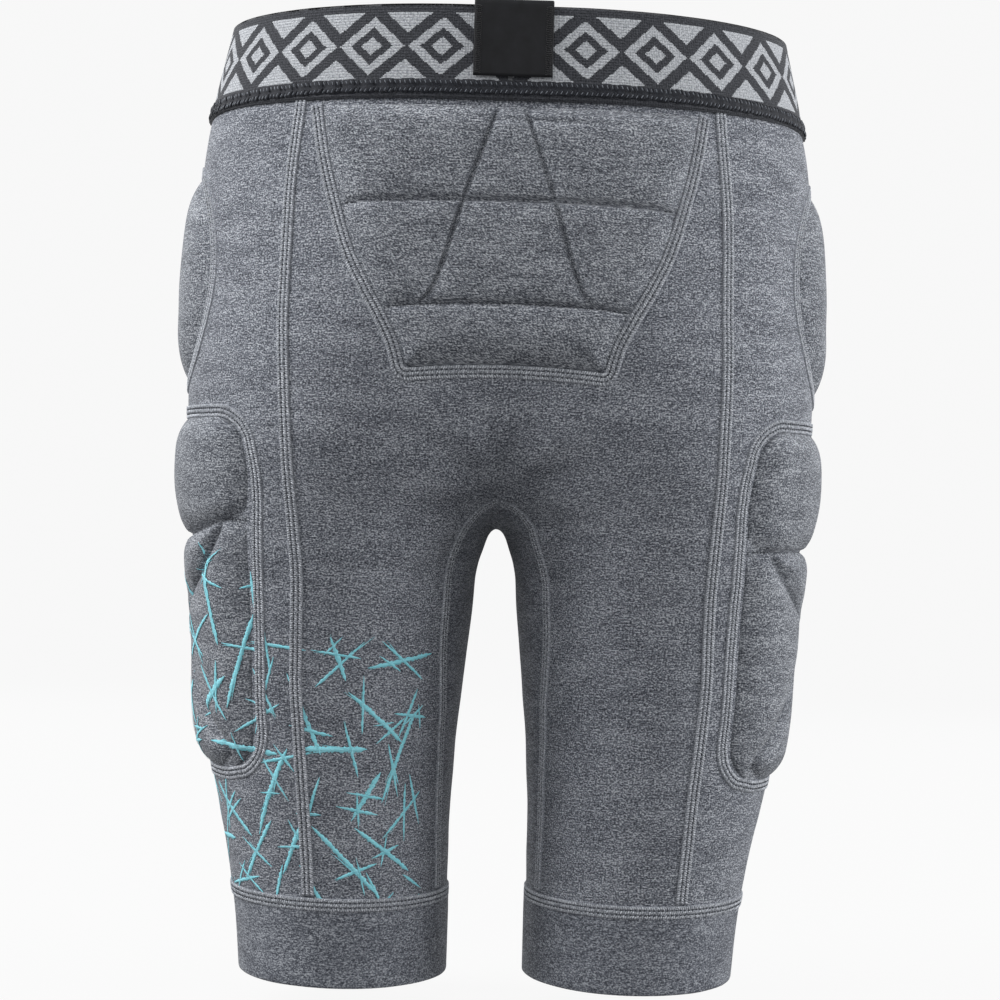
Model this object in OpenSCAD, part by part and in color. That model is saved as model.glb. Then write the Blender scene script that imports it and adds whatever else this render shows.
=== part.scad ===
// Padded impact shorts: a stretch jersey garment with foam pads over the tailbone, the hips and the thighs.
// The wearer faces +Y, +X is the wearer's right, +Z is up. The origin is the centre of the waist opening,
// level with the band's top edge. Shapes are written for the right side and mirrored for the left.

/* [Garment] */
// Width across the waist, at the top edge of the band
waist_w = 282; // [270:2:296]
// Depth of the waist, front to back
waist_d = 190; // [180:2:200]
// Greatest width across the hips, without the pads
hip_w = 319; // [309:2:327]
// Greatest depth at the hips, front to back
hip_d = 200; // [192:2:208]
// Width across both thighs, halfway down the leg
thigh_w = 299; // [291:2:305]
// Width across both hems
hem_w = 252; // [244:2:260]
// Depth of each hem, front to back
hem_d = 126; // [120:2:132]
// Thickness of the jersey
fabric_t = 1.6; // [1.2:0.1:2]

/* [Trim] */
// Thickness of the waistband elastic
band_t = 2.5; // [2:0.1:3]
// Width of the folded tab at the centre back
tab_w = 38; // [30:1:40]
// Width of the flatlock seams
seam_w = 6.5; // [5:0.5:7]
// Thickness of the flatlock seams
seam_t = 1.1; // [0.8:0.1:1.4]

/* [Pads] */
// Thickness of the foam cells
foam_t = 6; // [5:0.5:7]
// Thickness of the pad covers
cover_t = 1.2; // [1:0.1:1.4]

/* [Hidden] */

// Heights of the hem, of the seam above the cuff and of the leg split (crotch)
hem_z = -478;
cuff_z = -437;
// Rounding of the saddle between the legs
saddle_r = 8;
// Half the gap between two panels that meet under a seam
gap = 0.5;
// Half the gap across the hip crease, where the wall curves in under the seat
crease_gap = 1.1;
// Clearance between a layer and the one that lies on it
air = 0.4;
// Height of the foam's underside above the jersey
foam_foot = 1.1;
// Hip crease: the panels are split along the plane z = crease_top + crease_k |x|
// and along the same plane crease_drop lower
crease_top = -254;
crease_k = tan(30);
crease_drop = 63.5;

// Stations down the garment: [height, value]
// Half-width of the outer side
side_line = [
    [0, waist_w/2], [-36, waist_w/2 + 8], [-70, hip_w/2 - 4.5], [-130, hip_w/2 - 1.5], [-184, hip_w/2],
    [-215, hip_w/2 - 1.5], [-246, hip_w/2 - 4.5], [-308, thigh_w/2], [-340, thigh_w/2 - 2.5],
    [-370, thigh_w/2 - 6], [-393, thigh_w/2 - 10.5], [-424, hem_w/2 + 6.5], [-450, hem_w/2 + 2.5],
    [hem_z, hem_w/2]
];
// Half the depth, front to back
depth_line = [
    [0, waist_d/2], [-40, waist_d/2 + 3], [-100, hip_d/2], [-150, hip_d/2], [-200, hip_d/2 - 4],
    [-250, hip_d/2 - 14], [-300, hip_d/2 - 22], [-350, hip_d/2 - 28], [-400, hem_d/2 + 4],
    [-440, hem_d/2 + 1], [hem_z, hem_d/2]
];
// How far the section's middle lies forward of the origin
middle_line = [[0, 0], [-60, -1], [-180, -4], [-300, 0], [hem_z, 2]];
// Sideways place of the widest front-to-back chord: near the centre at the waist, in the leg's middle below
chord_line = [
    [0, 20], [-60, 30], [-120, 45], [-180, 62], [-230, 76], [-280, 80], [-350, 80], [-393, 79], [-424, 76],
    [-450, 74], [hem_z, 73]
];
// Where the section closes on its inner side: beyond the far side in the pelvis,
// beside the centre in the legs
inner_line = [
    [0, -260], [-120, -260], [-170, -180], [-195, -110], [-210, -66], [-220, -38], [-230, -15], [-235, -7],
    [-243, 2], [-251, 8], [-262, 10.8], [-269, 12.4], [-277, 13.4], [-293, 13.9], [-316, 15.6],
    [-339, 17.6], [-362, 20], [-393, 21.4], [hem_z, 21.5]
];
// Distance of the long rear and front seams from the centre
seam_line = [
    [-40, 101], [-100, 106], [-165, 107], [-218, 106], [-250, 104], [-285, 102], [-320, 102], [-350, 100],
    [-385, 97], [-425, 94], [hem_z, 91]
];
// Half the gusset's width, front to back
gusset_line = [[-200, 47], [-272, 47], [-296, 46], [-350, 35], [-385, 30], [hem_z, 25]];
// Half-width of the tailbone pad and of its middle column, down its height
tail_edge = [
    [-40, 95], [-72, 89.5], [-95, 83.5], [-117, 76.5], [-133, 69], [-149, 60.5], [-163, 54],
    [-178, 50]
];
tail_middle = [[-45, 7], [-95, 23], [-145, 37], [-178, 40]];
tail_rows = [-49, -95, -145, -178];
// Half-width of the thigh pad and of its hourglass middle cell, down its height
thigh_edge = [
    [-196, 63], [-198, 69], [-203, 74.5], [-210, 77], [-222, 77.5], [-253, 73.5], [-295, 68], [-341, 63],
    [-354, 61.5], [-363, 57], [-370, 50], [-376, 40]
];
thigh_middle = [
    [-196, 55], [-258, 58], [-274, 43], [-292, 13], [-305, 8], [-319, 12], [-351, 38], [-363, 46],
    [-376, 40]
];
thigh_rows = [-196, -258, -376];
// Hip pad: height of its centre and its half-sizes up and across
hip_z = -128;
hip_up = 55;
hip_across = 48;
// Fractions across a foam cell and the share of the full thickness at each
cell_steps = [0, 0.06, 0.18, 0.39, 0.61, 0.82, 0.94, 1];
cell_rise = [0, 0.5, 0.88, 1, 1, 0.88, 0.5, 0];
cell_n = len(cell_steps) - 1;
// Inset of a pad cover from the middle of the seam round it
inset = seam_w/2 + 0.6;

jersey = "#6e7075";
dark_jersey = "#5d5f64";
thread = "#85878c";
foam = "#d8cfa8";
black = "#26282b";
band_grey = "#3b3c40";

// ---- Curves ----

function bracket(t, z, i = 0) = (i >= len(t) - 2 || z >= t[i + 1][0]) ? i : bracket(t, z, i + 1);
function secant(t, i) = (t[i + 1][1] - t[i][1])/(t[i + 1][0] - t[i][0]);
function slope(t, i) =
    i == 0 ? secant(t, 0)
    : i == len(t) - 1 ? secant(t, i - 1)
    : let(a = secant(t, i - 1), b = secant(t, i)) (a*b <= 0 ? 0 : 2*a*b/(a + b));
// Smooth curve through the stations of a line, without overshoot
function along(t, z) =
    let(
        i = bracket(t, z),
        h = t[i + 1][0] - t[i][0],
        s = (z - t[i][0])/h,
        s2 = s*s,
        s3 = s2*s
    )
    (2*s3 - 3*s2 + 1)*t[i][1] + (s3 - 2*s2 + s)*h*slope(t, i)
    + (3*s2 - 2*s3)*t[i + 1][1] + (s3 - s2)*h*slope(t, i + 1);
function mix(a, b, s) = a + (b - a)*s;
function unit(v) = v/norm(v);
function steps(a, b, n) = [for (i = [0:n]) mix(a, b, i/n)];

// ---- The garment's surface, right half ----

function out(z) = along(side_line, z);
function deep(z) = along(depth_line, z);
function middle(z) = along(middle_line, z);
function chord(z) = along(chord_line, z);
function eased(x) = sqrt(x*x + saddle_r*saddle_r);
function half_cos(s) = sqrt(max(0, 1 - s*s));

// Front (side 1) or rear (side -1) wall at a sideways place and a height
function wall(x, z, side) =
    let(
        a = abs(x),
        c = chord(z),
        s = a > c ? (a - c)/(out(z) - c) : (eased(c) - eased(a))/(eased(c) - along(inner_line, z))
    )
    [x, middle(z) + side*deep(z)*half_cos(s), z];
// Outer side of the leg at a place front to back
function flank(y, z) = [chord(z) + (out(z) - chord(z))*half_cos((y - middle(z))/deep(z)), y, z];
// Inner side of the leg at a distance forward of its middle; 0 where the legs have joined
function inner_x(ahead, z) =
    let(c = eased(chord(z)), k = c - (c - along(inner_line, z))*half_cos(ahead/deep(z)))
    (k > saddle_r ? sqrt(k*k - saddle_r*saddle_r) : 0);
// Ring round one leg, from the outer side through the front
function leg_ring(a, z) =
    let(y = middle(z) + deep(z)*sin(a))
    (cos(a) >= 0 ? [chord(z) + (out(z) - chord(z))*cos(a), y, z] : [inner_x(y - middle(z), z), y, z]);
// Ring round the waist, from the right side through the front
function waist_ring(a, z) = wall(out(z)*cos(a), z, sin(a) >= 0 ? 1 : -1);
// Height of the join between the waistband and the panels
function join_z(y) = -44 - 4*y/98;

// A surface point with its outward normal, from a chart f(u, v)
function spot(f, u, v, d = 0.5) =
    let(
        p = f(u, v),
        n = unit(cross(f(u + d, v) - f(u - d, v), f(u, v + d) - f(u, v - d))),
        away = p - [sign(p.x)*chord(p.z), middle(p.z), p.z + 40]
    )
    [p, n*away < 0 ? -n : n];
function rear_chart() = function(x, z) wall(x, z, -1);
function front_chart() = function(x, z) wall(x, z, 1);
function wall_chart(side) = side < 0 ? rear_chart() : front_chart();
function flank_chart() = function(y, z) flank(y, z);
function arc_chart() = function(a, z) leg_ring(a, z);
function waist_chart() = function(a, z) waist_ring(a, z);
// Height at which a plane of the hip crease crosses a path x(z)
function crease_z(top, path, z = -220, turns = 6) =
    turns == 0 ? z : crease_z(top, path, top + crease_k*path(z), turns - 1);
// Height at which the inner sides of the legs join, at a distance forward of the middle
function saddle_z(ahead, low = -270, high = -215, turns = 18) =
    let(z = (low + high)/2)
    turns == 0 ? z :
    inner_x(ahead, z) > 0 ? saddle_z(ahead, z, high, turns - 1) :
    saddle_z(ahead, low, z, turns - 1);
// Height at which the gusset's edge passes a sideways place
function gusset_z(x, low = -290, high = -215, turns = 18) =
    let(z = (low + high)/2)
    turns == 0 ? z :
    inner_x(gusset_edge(z), z) > x ? gusset_z(x, z, high, turns - 1) :
    gusset_z(x, low, z, turns - 1);
function gusset_edge(z) = along(gusset_line, z);
function gusset_x(z) = inner_x(gusset_edge(z) + gap, z);

// ---- Solids on the surface ----

// A closed layer between two offsets of a grid of [point, normal] rows;
// low and high are functions of (row, column)
module layer(grid, low, high, loop = false) {
    rows = len(grid);
    cols = len(grid[0]);
    last = loop ? cols - 1 : cols - 2;
    total = rows*cols;
    i0 = floor(rows/2) - 1;
    j0 = floor(cols/2) - 1;
    down = grid[i0 + 1][j0][0] - grid[i0][j0][0];
    along_row = grid[i0][j0 + 1][0] - grid[i0][j0][0];
    turn = cross(down, along_row)*grid[i0][j0][1] > 0;
    tops = [for (i = [0:rows - 1]) for (j = [0:cols - 1]) grid[i][j][0] + grid[i][j][1]*high(i, j)];
    lows = [for (i = [0:rows - 1]) for (j = [0:cols - 1]) grid[i][j][0] + grid[i][j][1]*low(i, j)];
    top_faces = [for (i = [0:rows - 2]) for (j = [0:last])
        let(a = i*cols + j, b = i*cols + (j + 1)%cols, c = a + cols, d = b + cols)
        each [[a, b, d], [a, d, c]]];
    low_faces = [for (f = top_faces) [f[2] + total, f[1] + total, f[0] + total]];
    row_edges = [for (i = [0, rows - 1]) for (j = [0:last])
        let(a = i*cols + j, b = i*cols + (j + 1)%cols)
        each (i == 0 ? [[b, a, a + total], [b, a + total, b + total]] :
        [[a, b, b + total], [a, b + total, a + total]])];
    col_edges = loop ? [] : [for (j = [0, cols - 1]) for (i = [0:rows - 2])
        let(a = i*cols + j, b = a + cols)
        each (j == 0 ? [[a, b, b + total], [a, b + total, a + total]] :
        [[b, a, a + total], [b, a + total, b + total]])];
    faces = concat(top_faces, low_faces, row_edges, col_edges);
    polyhedron(concat(tops, lows), turn ? [for (f = faces) [f[2], f[1], f[0]]] : faces, convexity = 8);
}

// A piece of jersey: the fabric lies inside the garment's surface
module jersey_piece(grid) {
    layer(grid, function(i, j) -fabric_t, function(i, j) 0);
}

// A flat seam along a path of [point, normal] pairs
module seam(path, width = seam_w, low = 0.6, high = 0.6 + seam_t) {
    n = len(path) - 1;
    grid = [for (i = [0:n])
        let(
            t = unit(path[min(n, i + 1)][0] - path[max(0, i - 1)][0]),
            b = unit(cross(t, path[i][1]))
        )
        [for (s = [-0.5, 0.5]) [path[i][0] + b*width*s, path[i][1]]]];
    layer(grid, function(i, j) low, function(i, j) high);
}

module left() {
    mirror([1, 0, 0]) children();
}

// ---- Waist ----

module waistband_elastic() {
    grid = [for (v = steps(0, 1, 2)) [for (a = [0:6:354])
        let(y = waist_ring(a, -44).y, z = mix(0, join_z(y) + 2.4, v))
        spot(waist_chart(), a, z)]];
    color(band_grey) layer(grid, function(i, j) 1 - band_t, function(i, j) 1, true);
}

module waistband_seam() {
    rise = [1.5, 3.4, 3.6, 1.8];
    grid = [for (v = [0:3]) [for (a = [0:6:354])
        let(y = waist_ring(a, -44).y, z = join_z(y) + mix(4, -4, v/3))
        spot(waist_chart(), a, z)]];
    color(black) layer(grid, function(i, j) 1.4, function(i, j) 1.4 + rise[i]*0.7, true);
}

// The tab is folded over the band's top edge
module back_tab() {
    tab_t = 1.2;
    outer = 1 + air;
    inner = 1 - band_t - air;
    tab_foot = -34.5;
    back = [for (z = [1.2, tab_foot]) wall(0, z, -1).y];
    profile = [
        [back[0] - outer - tab_t, 1.4 + tab_t], [back[1] - outer - tab_t, tab_foot],
        [back[1] - outer, tab_foot], [back[0] - outer, 1.4],
        [back[0] - inner, 1.4], [back[1] - inner, tab_foot],
        [back[1] - inner + tab_t, tab_foot], [back[0] - inner + tab_t, 1.4 + tab_t]
    ];
    color(black) rotate([90, 0, 90]) linear_extrude(tab_w, center = true) polygon(profile);
}

module back_tab_stitching() {
    color(black) for (s = [-1, 1]) seam(
        [for (z = steps(-33.5, -1, 4)) [wall(s*(tab_w/2 - 2), z, -1), [0, -1, 0]]], 1.6, 3.1, 3.6
    );
}

// ---- Panels above the hip crease ----

// Lower edge of the front or rear panel: the crease, or the gusset near the centre
function panel_foot(u) =
    let(z = crease_z(crease_top, function(z) abs(u)*along(seam_line, z)), x = abs(u)*along(seam_line, z))
    x < 24 ? max(z, gusset_z(x)) : z;

module centre_panel(side) {
    half = [0.05, 0.1, 0.135, 0.16, 0.19, 0.23, 0.28, 0.34, 0.44, 0.58, 0.72, 0.86, 1];
    us = [each [for (i = [len(half) - 1:-1:0]) -half[i]], 0, each half];
    grid = [for (v = [0, 0.12, 0.3, 0.5, 0.65, 0.75, 0.84, 0.92, 1]) [for (u = us)
        let(
            y = wall(u*101, -44, side).y,
            z = mix(join_z(y) - gap, panel_foot(u) + crease_gap, v)
        )
        spot(wall_chart(side), u*(along(seam_line, z) - gap), z)]];
    color(jersey) jersey_piece(grid);
}

module back_panel() {
    centre_panel(-1);
}

module front_panel() {
    centre_panel(1);
}

// Angle of the long seams on the leg's ring
function seam_angle(z, spare) = acos((along(seam_line, z) + spare - chord(z))/(out(z) - chord(z)));
function flank_x(a, z) = leg_ring(a*seam_angle(z, gap), z).x;

module side_piece(tops, feet, rows) {
    grid = [for (v = steps(0, 1, rows)) [for (a = steps(-1, 1, 10))
        let(z = mix(tops(a), feet(a), v))
        spot(arc_chart(), a*seam_angle(z, gap), z)]];
    color(jersey) jersey_piece(grid);
}

module side_panel() {
    side_piece(
        function(a) join_z(leg_ring(a*70, -44).y) - gap,
        function(a) crease_z(crease_top, function(z) flank_x(a, z)) + gap,
        8
    );
}

module side_panel_right() {
    side_panel();
}

module side_panel_left() {
    left() side_panel();
}

// ---- The hip crease, which bends as the thigh swings ----

module side_crease() {
    side_piece(
        function(a) crease_z(crease_top, function(z) flank_x(a, z)) - gap,
        function(a) crease_z(crease_top - crease_drop, function(z) flank_x(a, z)) + gap,
        4
    );
}

// Front or rear piece between the long seam and the gusset
module inner_piece(side, tops, feet, rows) {
    grid = [for (v = steps(0, 1, rows)) [for (u = [0, 0.17, 0.34, 0.51, 0.66, 0.78, 0.87, 0.94, 1])
        let(z = mix(tops(u), feet(u), v))
        spot(wall_chart(side), inner_path(u)(z), z)]];
    color(jersey) jersey_piece(grid);
}

// Sideways place at a share of the way from the long seam to the gusset, as a function of height
function inner_path(u) = function(z) mix(along(seam_line, z) - gap, gusset_x(z), u);

module inner_crease(side) {
    inner_piece(
        side,
        function(u) crease_z(crease_top, inner_path(u)) - crease_gap,
        function(u) crease_z(crease_top - crease_drop, inner_path(u)) + gap,
        6
    );
}

module seat_crease_left() {
    left() inner_crease(-1);
}

module seat_crease_right() {
    inner_crease(-1);
}

module groin_crease_left() {
    left() inner_crease(1);
}

module groin_crease_right() {
    inner_crease(1);
}

module side_crease_left() {
    left() side_crease();
}

module side_crease_right() {
    side_crease();
}

// Points of the gusset: p runs from the rear seam (-1) to the front seam (1), z from the foot to the saddle
function gusset_point(p, z) =
    let(ahead = p*(gusset_edge(z) - gap))
    [inner_x(ahead, z), middle(z) + ahead, z];
function gusset_foot(p) = crease_z(crease_top - crease_drop, function(z) gusset_point(p, z).x);
function flipped(p) = [-p.x, p.y, p.z];
// Outward normals of a grid of points, for a surface that faces down
function faced(rows) =
    let(n = len(rows) - 1, m = len(rows[0]) - 1)
    [for (i = [0:n]) [for (j = [0:m])
        let(
            on = rows[min(n, i + 1)][j] - rows[max(0, i - 1)][j],
            over = rows[i][min(m, j + 1)] - rows[i][max(0, j - 1)]
        )
        [rows[i][j], unit(cross(on, over))]]];

module gusset_crotch() {
    half = [for (q = [0, 0.12, 0.25, 0.38, 0.5, 0.6, 0.7, 0.79, 0.87, 0.94]) [for (p = steps(-1, 1, 10))
        let(foot = gusset_foot(p) + gap, top = saddle_z(p*(47 - gap)))
        gusset_point(p, mix(foot, top, 1 - pow(1 - q, 2)))]];
    ridge = [for (p = steps(-1, 1, 10))
        let(ahead = p*(47 - gap), z = saddle_z(ahead))
        [0, middle(z) + ahead, z]];
    other = [for (i = [len(half) - 1:-1:0]) [for (p = half[i]) flipped(p)]];
    color(dark_jersey) jersey_piece(faced(concat(half, [ridge], other)));
}

// ---- Legs below the crease ----

module leg_panel(side) {
    inner_piece(
        side,
        function(u) crease_z(crease_top - crease_drop, inner_path(u)) - gap,
        function(u) cuff_z + gap,
        8
    );
}

module rear_thigh_panel_left() {
    left() leg_panel(-1);
}

module rear_thigh_panel_right() {
    leg_panel(-1);
}

module front_thigh_panel_left() {
    left() leg_panel(1);
}

module front_thigh_panel_right() {
    leg_panel(1);
}

module side_thigh_panel() {
    side_piece(
        function(a) crease_z(crease_top - crease_drop, function(z) flank_x(a, z)) - gap,
        function(a) cuff_z + gap,
        10
    );
}

module side_thigh_panel_left() {
    left() side_thigh_panel();
}

module side_thigh_panel_right() {
    side_thigh_panel();
}

module gusset_leg() {
    grid = [for (v = steps(0, 1, 8)) [for (p = steps(-1, 1, 6))
        let(z = mix(gusset_foot(p) - gap, cuff_z + gap, v), q = gusset_point(p, z))
        spot(function(y, z) [inner_x(y - middle(z), z), y, z], q.y, z)]];
    color(dark_jersey) jersey_piece(grid);
}

module gusset_leg_left() {
    left() gusset_leg();
}

module gusset_leg_right() {
    gusset_leg();
}

// Doubled hem band
module cuff() {
    grid = [for (z = steps(cuff_z - gap, hem_z, 3)) [for (a = [0:9:351]) spot(arc_chart(), a, z)]];
    color(jersey) layer(grid, function(i, j) -fabric_t - 0.4, function(i, j) 0.5, true);
}

module cuff_left() {
    left() cuff();
}

module cuff_right() {
    cuff();
}

module cuff_seam() {
    grid = [for (z = steps(cuff_z + seam_w/2, cuff_z - seam_w/2, 2)) [for (a = [0:9:351])
        spot(arc_chart(), a, z)]];
    color(thread) layer(grid, function(i, j) 0.9, function(i, j) 0.9 + seam_t, true);
}

module cuff_seam_left() {
    left() cuff_seam();
}

module cuff_seam_right() {
    cuff_seam();
}

// ---- Long seams ----

module long_seam(side) {
    top = join_z(wall(101, -44, side).y) - 6;
    color(thread) seam([for (z = steps(cuff_z + seam_w/2 + 1.5, top, 36))
        spot(wall_chart(side), along(seam_line, z), z)]);
}

module rear_seam_left() {
    left() long_seam(-1);
}

module rear_seam_right() {
    long_seam(-1);
}

module front_seam_left() {
    left() long_seam(1);
}

module front_seam_right() {
    long_seam(1);
}

// One gusset seam runs from hem to hem through the crotch
module gusset_seam(side) {
    foot = cuff_z + seam_w/2 + 1.5;
    top = saddle_z(47);
    places = [
        0, 0.06, 0.12, 0.2, 0.28, 0.36, 0.44, 0.52, 0.6, 0.66, 0.72, 0.77, 0.82, 0.87, 0.91,
        0.95, 0.98
    ];
    half = [for (q = places)
        let(z = mix(foot, top, 1 - pow(1 - q, 2)))
        spot(wall_chart(side), inner_x(gusset_edge(z), z), z, 0.2)];
    ridge = [spot(wall_chart(side), 0, top)];
    other = [for (i = [len(half) - 1:-1:0]) [for (p = half[i]) flipped(p)]];
    color(thread) seam(concat(half, ridge, other));
}

module gusset_rear_seam() {
    gusset_seam(-1);
}

module gusset_front_seam() {
    gusset_seam(1);
}

// ---- Pads ----

// Heights of a pad's grid rows: each band of cells has its own steps
function cell_heights(rows) = [for (k = [0:len(rows) - 2]) each
    [for (i = [(k == 0 ? 0 : 1):cell_n]) mix(rows[k], rows[k + 1], cell_steps[i])]];
function rise_down(i, bands) = cell_rise[i%cell_n]*(i == bands*cell_n ? 0 : 1);
// Three columns of cells: places across, from four edges
function cell_places(edges) = [for (k = [0:2]) each
    [for (j = [(k == 0 ? 0 : 1):cell_n]) mix(edges[k], edges[k + 1], cell_steps[j])]];
// Share of the thickness across: three cells, or one cell over the whole width
function rise_across(j, split) =
    split ? rise_down(j, 3) : j < cell_n/2 ? cell_rise[j] : j > 2.5*cell_n ? cell_rise[j - 2*cell_n] : 1;
function part_of(grid, r0, r1, c0, c1) = [for (i = [r0:r1]) [for (j = [c0:c1]) grid[i][j]]];

// The foam under a pad cover fills one block of the cover's own grid
module foam_cell(grid, rise, r0, r1, c0, c1) {
    color(foam) layer(
        part_of(grid, r0 + 1, r1 - 1, c0 + 1, c1 - 1),
        function(i, j) foam_foot,
        function(i, j) foam_foot - air + foam_t*rise(i + r0 + 1, j + c0 + 1)
    );
}

module pad_cover(grid, rise) {
    color(jersey) layer(
        grid,
        function(i, j) foam_foot + foam_t*rise(i, j),
        function(i, j) foam_foot + cover_t + foam_t*rise(i, j)
    );
}

// Tailbone pad: two rows of three cells and one cell below them
function tail_half(z) = along(tail_edge, z) - inset - 0.8;
tail_ends = [tail_rows[0], tail_rows[1], tail_rows[2], tail_rows[3] + inset];
function tail_grid() = [for (z = cell_heights(tail_ends)) [
    for (x = cell_places([-tail_half(z), -along(tail_middle, z), along(tail_middle, z), tail_half(z)]))
    spot(rear_chart(), x, z)]];
function tail_rise() = function(i, j) rise_down(i, 3)*rise_across(j, i <= 2*cell_n);

module tailbone_foam(band, column) {
    foam_cell(tail_grid(), tail_rise(), band*cell_n, (band + 1)*cell_n, column*cell_n, (column + 1)*cell_n);
}

module tailbone_foam_upper_left() {
    tailbone_foam(0, 0);
}

module tailbone_foam_upper_centre() {
    tailbone_foam(0, 1);
}

module tailbone_foam_upper_right() {
    tailbone_foam(0, 2);
}

module tailbone_foam_middle_left() {
    tailbone_foam(1, 0);
}

module tailbone_foam_middle_centre() {
    tailbone_foam(1, 1);
}

module tailbone_foam_middle_right() {
    tailbone_foam(1, 2);
}

module tailbone_foam_lower() {
    foam_cell(tail_grid(), tail_rise(), 2*cell_n, 3*cell_n, 0, 3*cell_n);
}

module tailbone_pad_cover() {
    pad_cover(tail_grid(), tail_rise());
}

// The pad's seam runs down one side, across the foot and up the other side
module tailbone_pad_seam() {
    foot = tail_rows[3];
    down = [for (z = steps(-50, foot + 6, 14)) [along(tail_edge, z), z]];
    path = concat(
        down,
        [[48, foot + 1.8]],
        [for (x = steps(42, -42, 8)) [x, foot]],
        [[-48, foot + 1.8]],
        [for (i = [len(down) - 1:-1:0]) [-down[i][0], down[i][1]]]
    );
    color(thread) seam([for (q = path) spot(rear_chart(), q[0], q[1])]);
}

// Hip pad: an oval dome on the side of the hip
function hip_grid(spare) = [for (v = steps(-1, 1, 8)) [for (u = steps(-1, 1, 8))
    spot(
        flank_chart(),
        middle(hip_z) + (hip_across - spare)*u*sqrt(1 - v*v/2),
        hip_z + (hip_up - spare)*v*sqrt(1 - u*u/2)
    )]];
function hip_rise() = function(i, j)
    let(u = abs(j - 4)/4, v = abs(i - 4)/4, far = u*u + v*v - u*u*v*v)
    max(0, 1 - pow(far, 3));

module hip_foam() {
    foam_cell(hip_grid(inset), hip_rise(), 0, 8, 0, 8);
}

module hip_foam_left() {
    left() hip_foam();
}

module hip_foam_right() {
    hip_foam();
}

module hip_pad_cover() {
    pad_cover(hip_grid(inset), hip_rise());
}

module hip_pad_cover_left() {
    left() hip_pad_cover();
}

module hip_pad_cover_right() {
    hip_pad_cover();
}

module hip_pad_seam() {
    color(thread) seam([for (a = [2:8.9:358])
        spot(flank_chart(), middle(hip_z) + hip_across*sin(a), hip_z + hip_up*cos(a))]);
}

module hip_pad_seam_left() {
    left() hip_pad_seam();
}

module hip_pad_seam_right() {
    hip_pad_seam();
}

// Thigh pad: a block above, and front, middle and rear cells below it
thigh_mid = (thigh_rows[0] + thigh_rows[2])/2;
thigh_up = (thigh_rows[0] - thigh_rows[2])/2;
function thigh_half(z) = along(thigh_edge, thigh_mid + (z - thigh_mid)*thigh_up/(thigh_up - inset)) - inset;
function thigh_heights() = cell_heights([thigh_rows[0] - inset, thigh_rows[1], thigh_rows[2] + inset]);
function thigh_waist(z) = min(along(thigh_middle, z), 0.8*thigh_half(z));
function thigh_grid() = [for (z = thigh_heights()) [
    for (y = cell_places([-thigh_half(z), -thigh_waist(z), thigh_waist(z), thigh_half(z)]))
    spot(flank_chart(), middle(z) + y, z)]];
function thigh_rise() = function(i, j) rise_down(i, 2)*rise_across(j, i > cell_n);

module thigh_foam(column) {
    foam_cell(thigh_grid(), thigh_rise(), cell_n, 2*cell_n, column*cell_n, (column + 1)*cell_n);
}

module thigh_foam_top() {
    foam_cell(thigh_grid(), thigh_rise(), 0, cell_n, 0, 3*cell_n);
}

module thigh_foam_top_left() {
    left() thigh_foam_top();
}

module thigh_foam_top_right() {
    thigh_foam_top();
}

module thigh_foam_rear_left() {
    left() thigh_foam(0);
}

module thigh_foam_rear_right() {
    thigh_foam(0);
}

module thigh_foam_front_left() {
    left() thigh_foam(2);
}

module thigh_foam_front_right() {
    thigh_foam(2);
}

module thigh_foam_centre_left() {
    left() thigh_foam(1);
}

module thigh_foam_centre_right() {
    thigh_foam(1);
}

module thigh_pad_cover() {
    pad_cover(thigh_grid(), thigh_rise());
}

module thigh_pad_cover_left() {
    left() thigh_pad_cover();
}

module thigh_pad_cover_right() {
    thigh_pad_cover();
}

module thigh_pad_seam() {
    top = thigh_rows[0];
    foot = thigh_rows[2];
    rear = [for (z = [-197.5, -200, -204, -210, -220, each steps(-234, -345, 9), -355, -363, -369, -373])
        [-along(thigh_edge, z), z]];
    path = concat(
        [for (y = steps(8, -61, 7)) [y, top]],
        rear,
        [for (y = steps(-38, 38, 8)) [y, foot]],
        [for (i = [len(rear) - 1:-1:0]) [-rear[i][0], rear[i][1]]],
        [for (y = steps(61, 9, 5)) [y, top]]
    );
    color(thread) seam([for (q = path) spot(flank_chart(), middle(q[1]) + q[0], q[1])]);
}

module thigh_pad_seam_left() {
    left() thigh_pad_seam();
}

module thigh_pad_seam_right() {
    thigh_pad_seam();
}

waistband_elastic();
waistband_seam();
back_tab();
back_tab_stitching();
back_panel();
front_panel();
side_panel_left();
side_panel_right();
tailbone_foam_upper_left();
tailbone_foam_upper_centre();
tailbone_foam_upper_right();
tailbone_foam_middle_left();
tailbone_foam_middle_centre();
tailbone_foam_middle_right();
tailbone_foam_lower();
tailbone_pad_cover();
tailbone_pad_seam();
hip_foam_left();
hip_foam_right();
hip_pad_cover_left();
hip_pad_cover_right();
hip_pad_seam_left();
hip_pad_seam_right();
seat_crease_left();
seat_crease_right();
groin_crease_left();
groin_crease_right();
side_crease_left();
side_crease_right();
gusset_crotch();
rear_seam_left();
rear_seam_right();
front_seam_left();
front_seam_right();
gusset_rear_seam();
gusset_front_seam();
rear_thigh_panel_left();
rear_thigh_panel_right();
front_thigh_panel_left();
front_thigh_panel_right();
side_thigh_panel_left();
side_thigh_panel_right();
gusset_leg_left();
gusset_leg_right();
cuff_left();
cuff_right();
cuff_seam_left();
cuff_seam_right();
thigh_foam_top_left();
thigh_foam_top_right();
thigh_foam_rear_left();
thigh_foam_rear_right();
thigh_foam_front_left();
thigh_foam_front_right();
thigh_foam_centre_left();
thigh_foam_centre_right();
thigh_pad_cover_left();
thigh_pad_cover_right();
thigh_pad_seam_left();
thigh_pad_seam_right();
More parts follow.
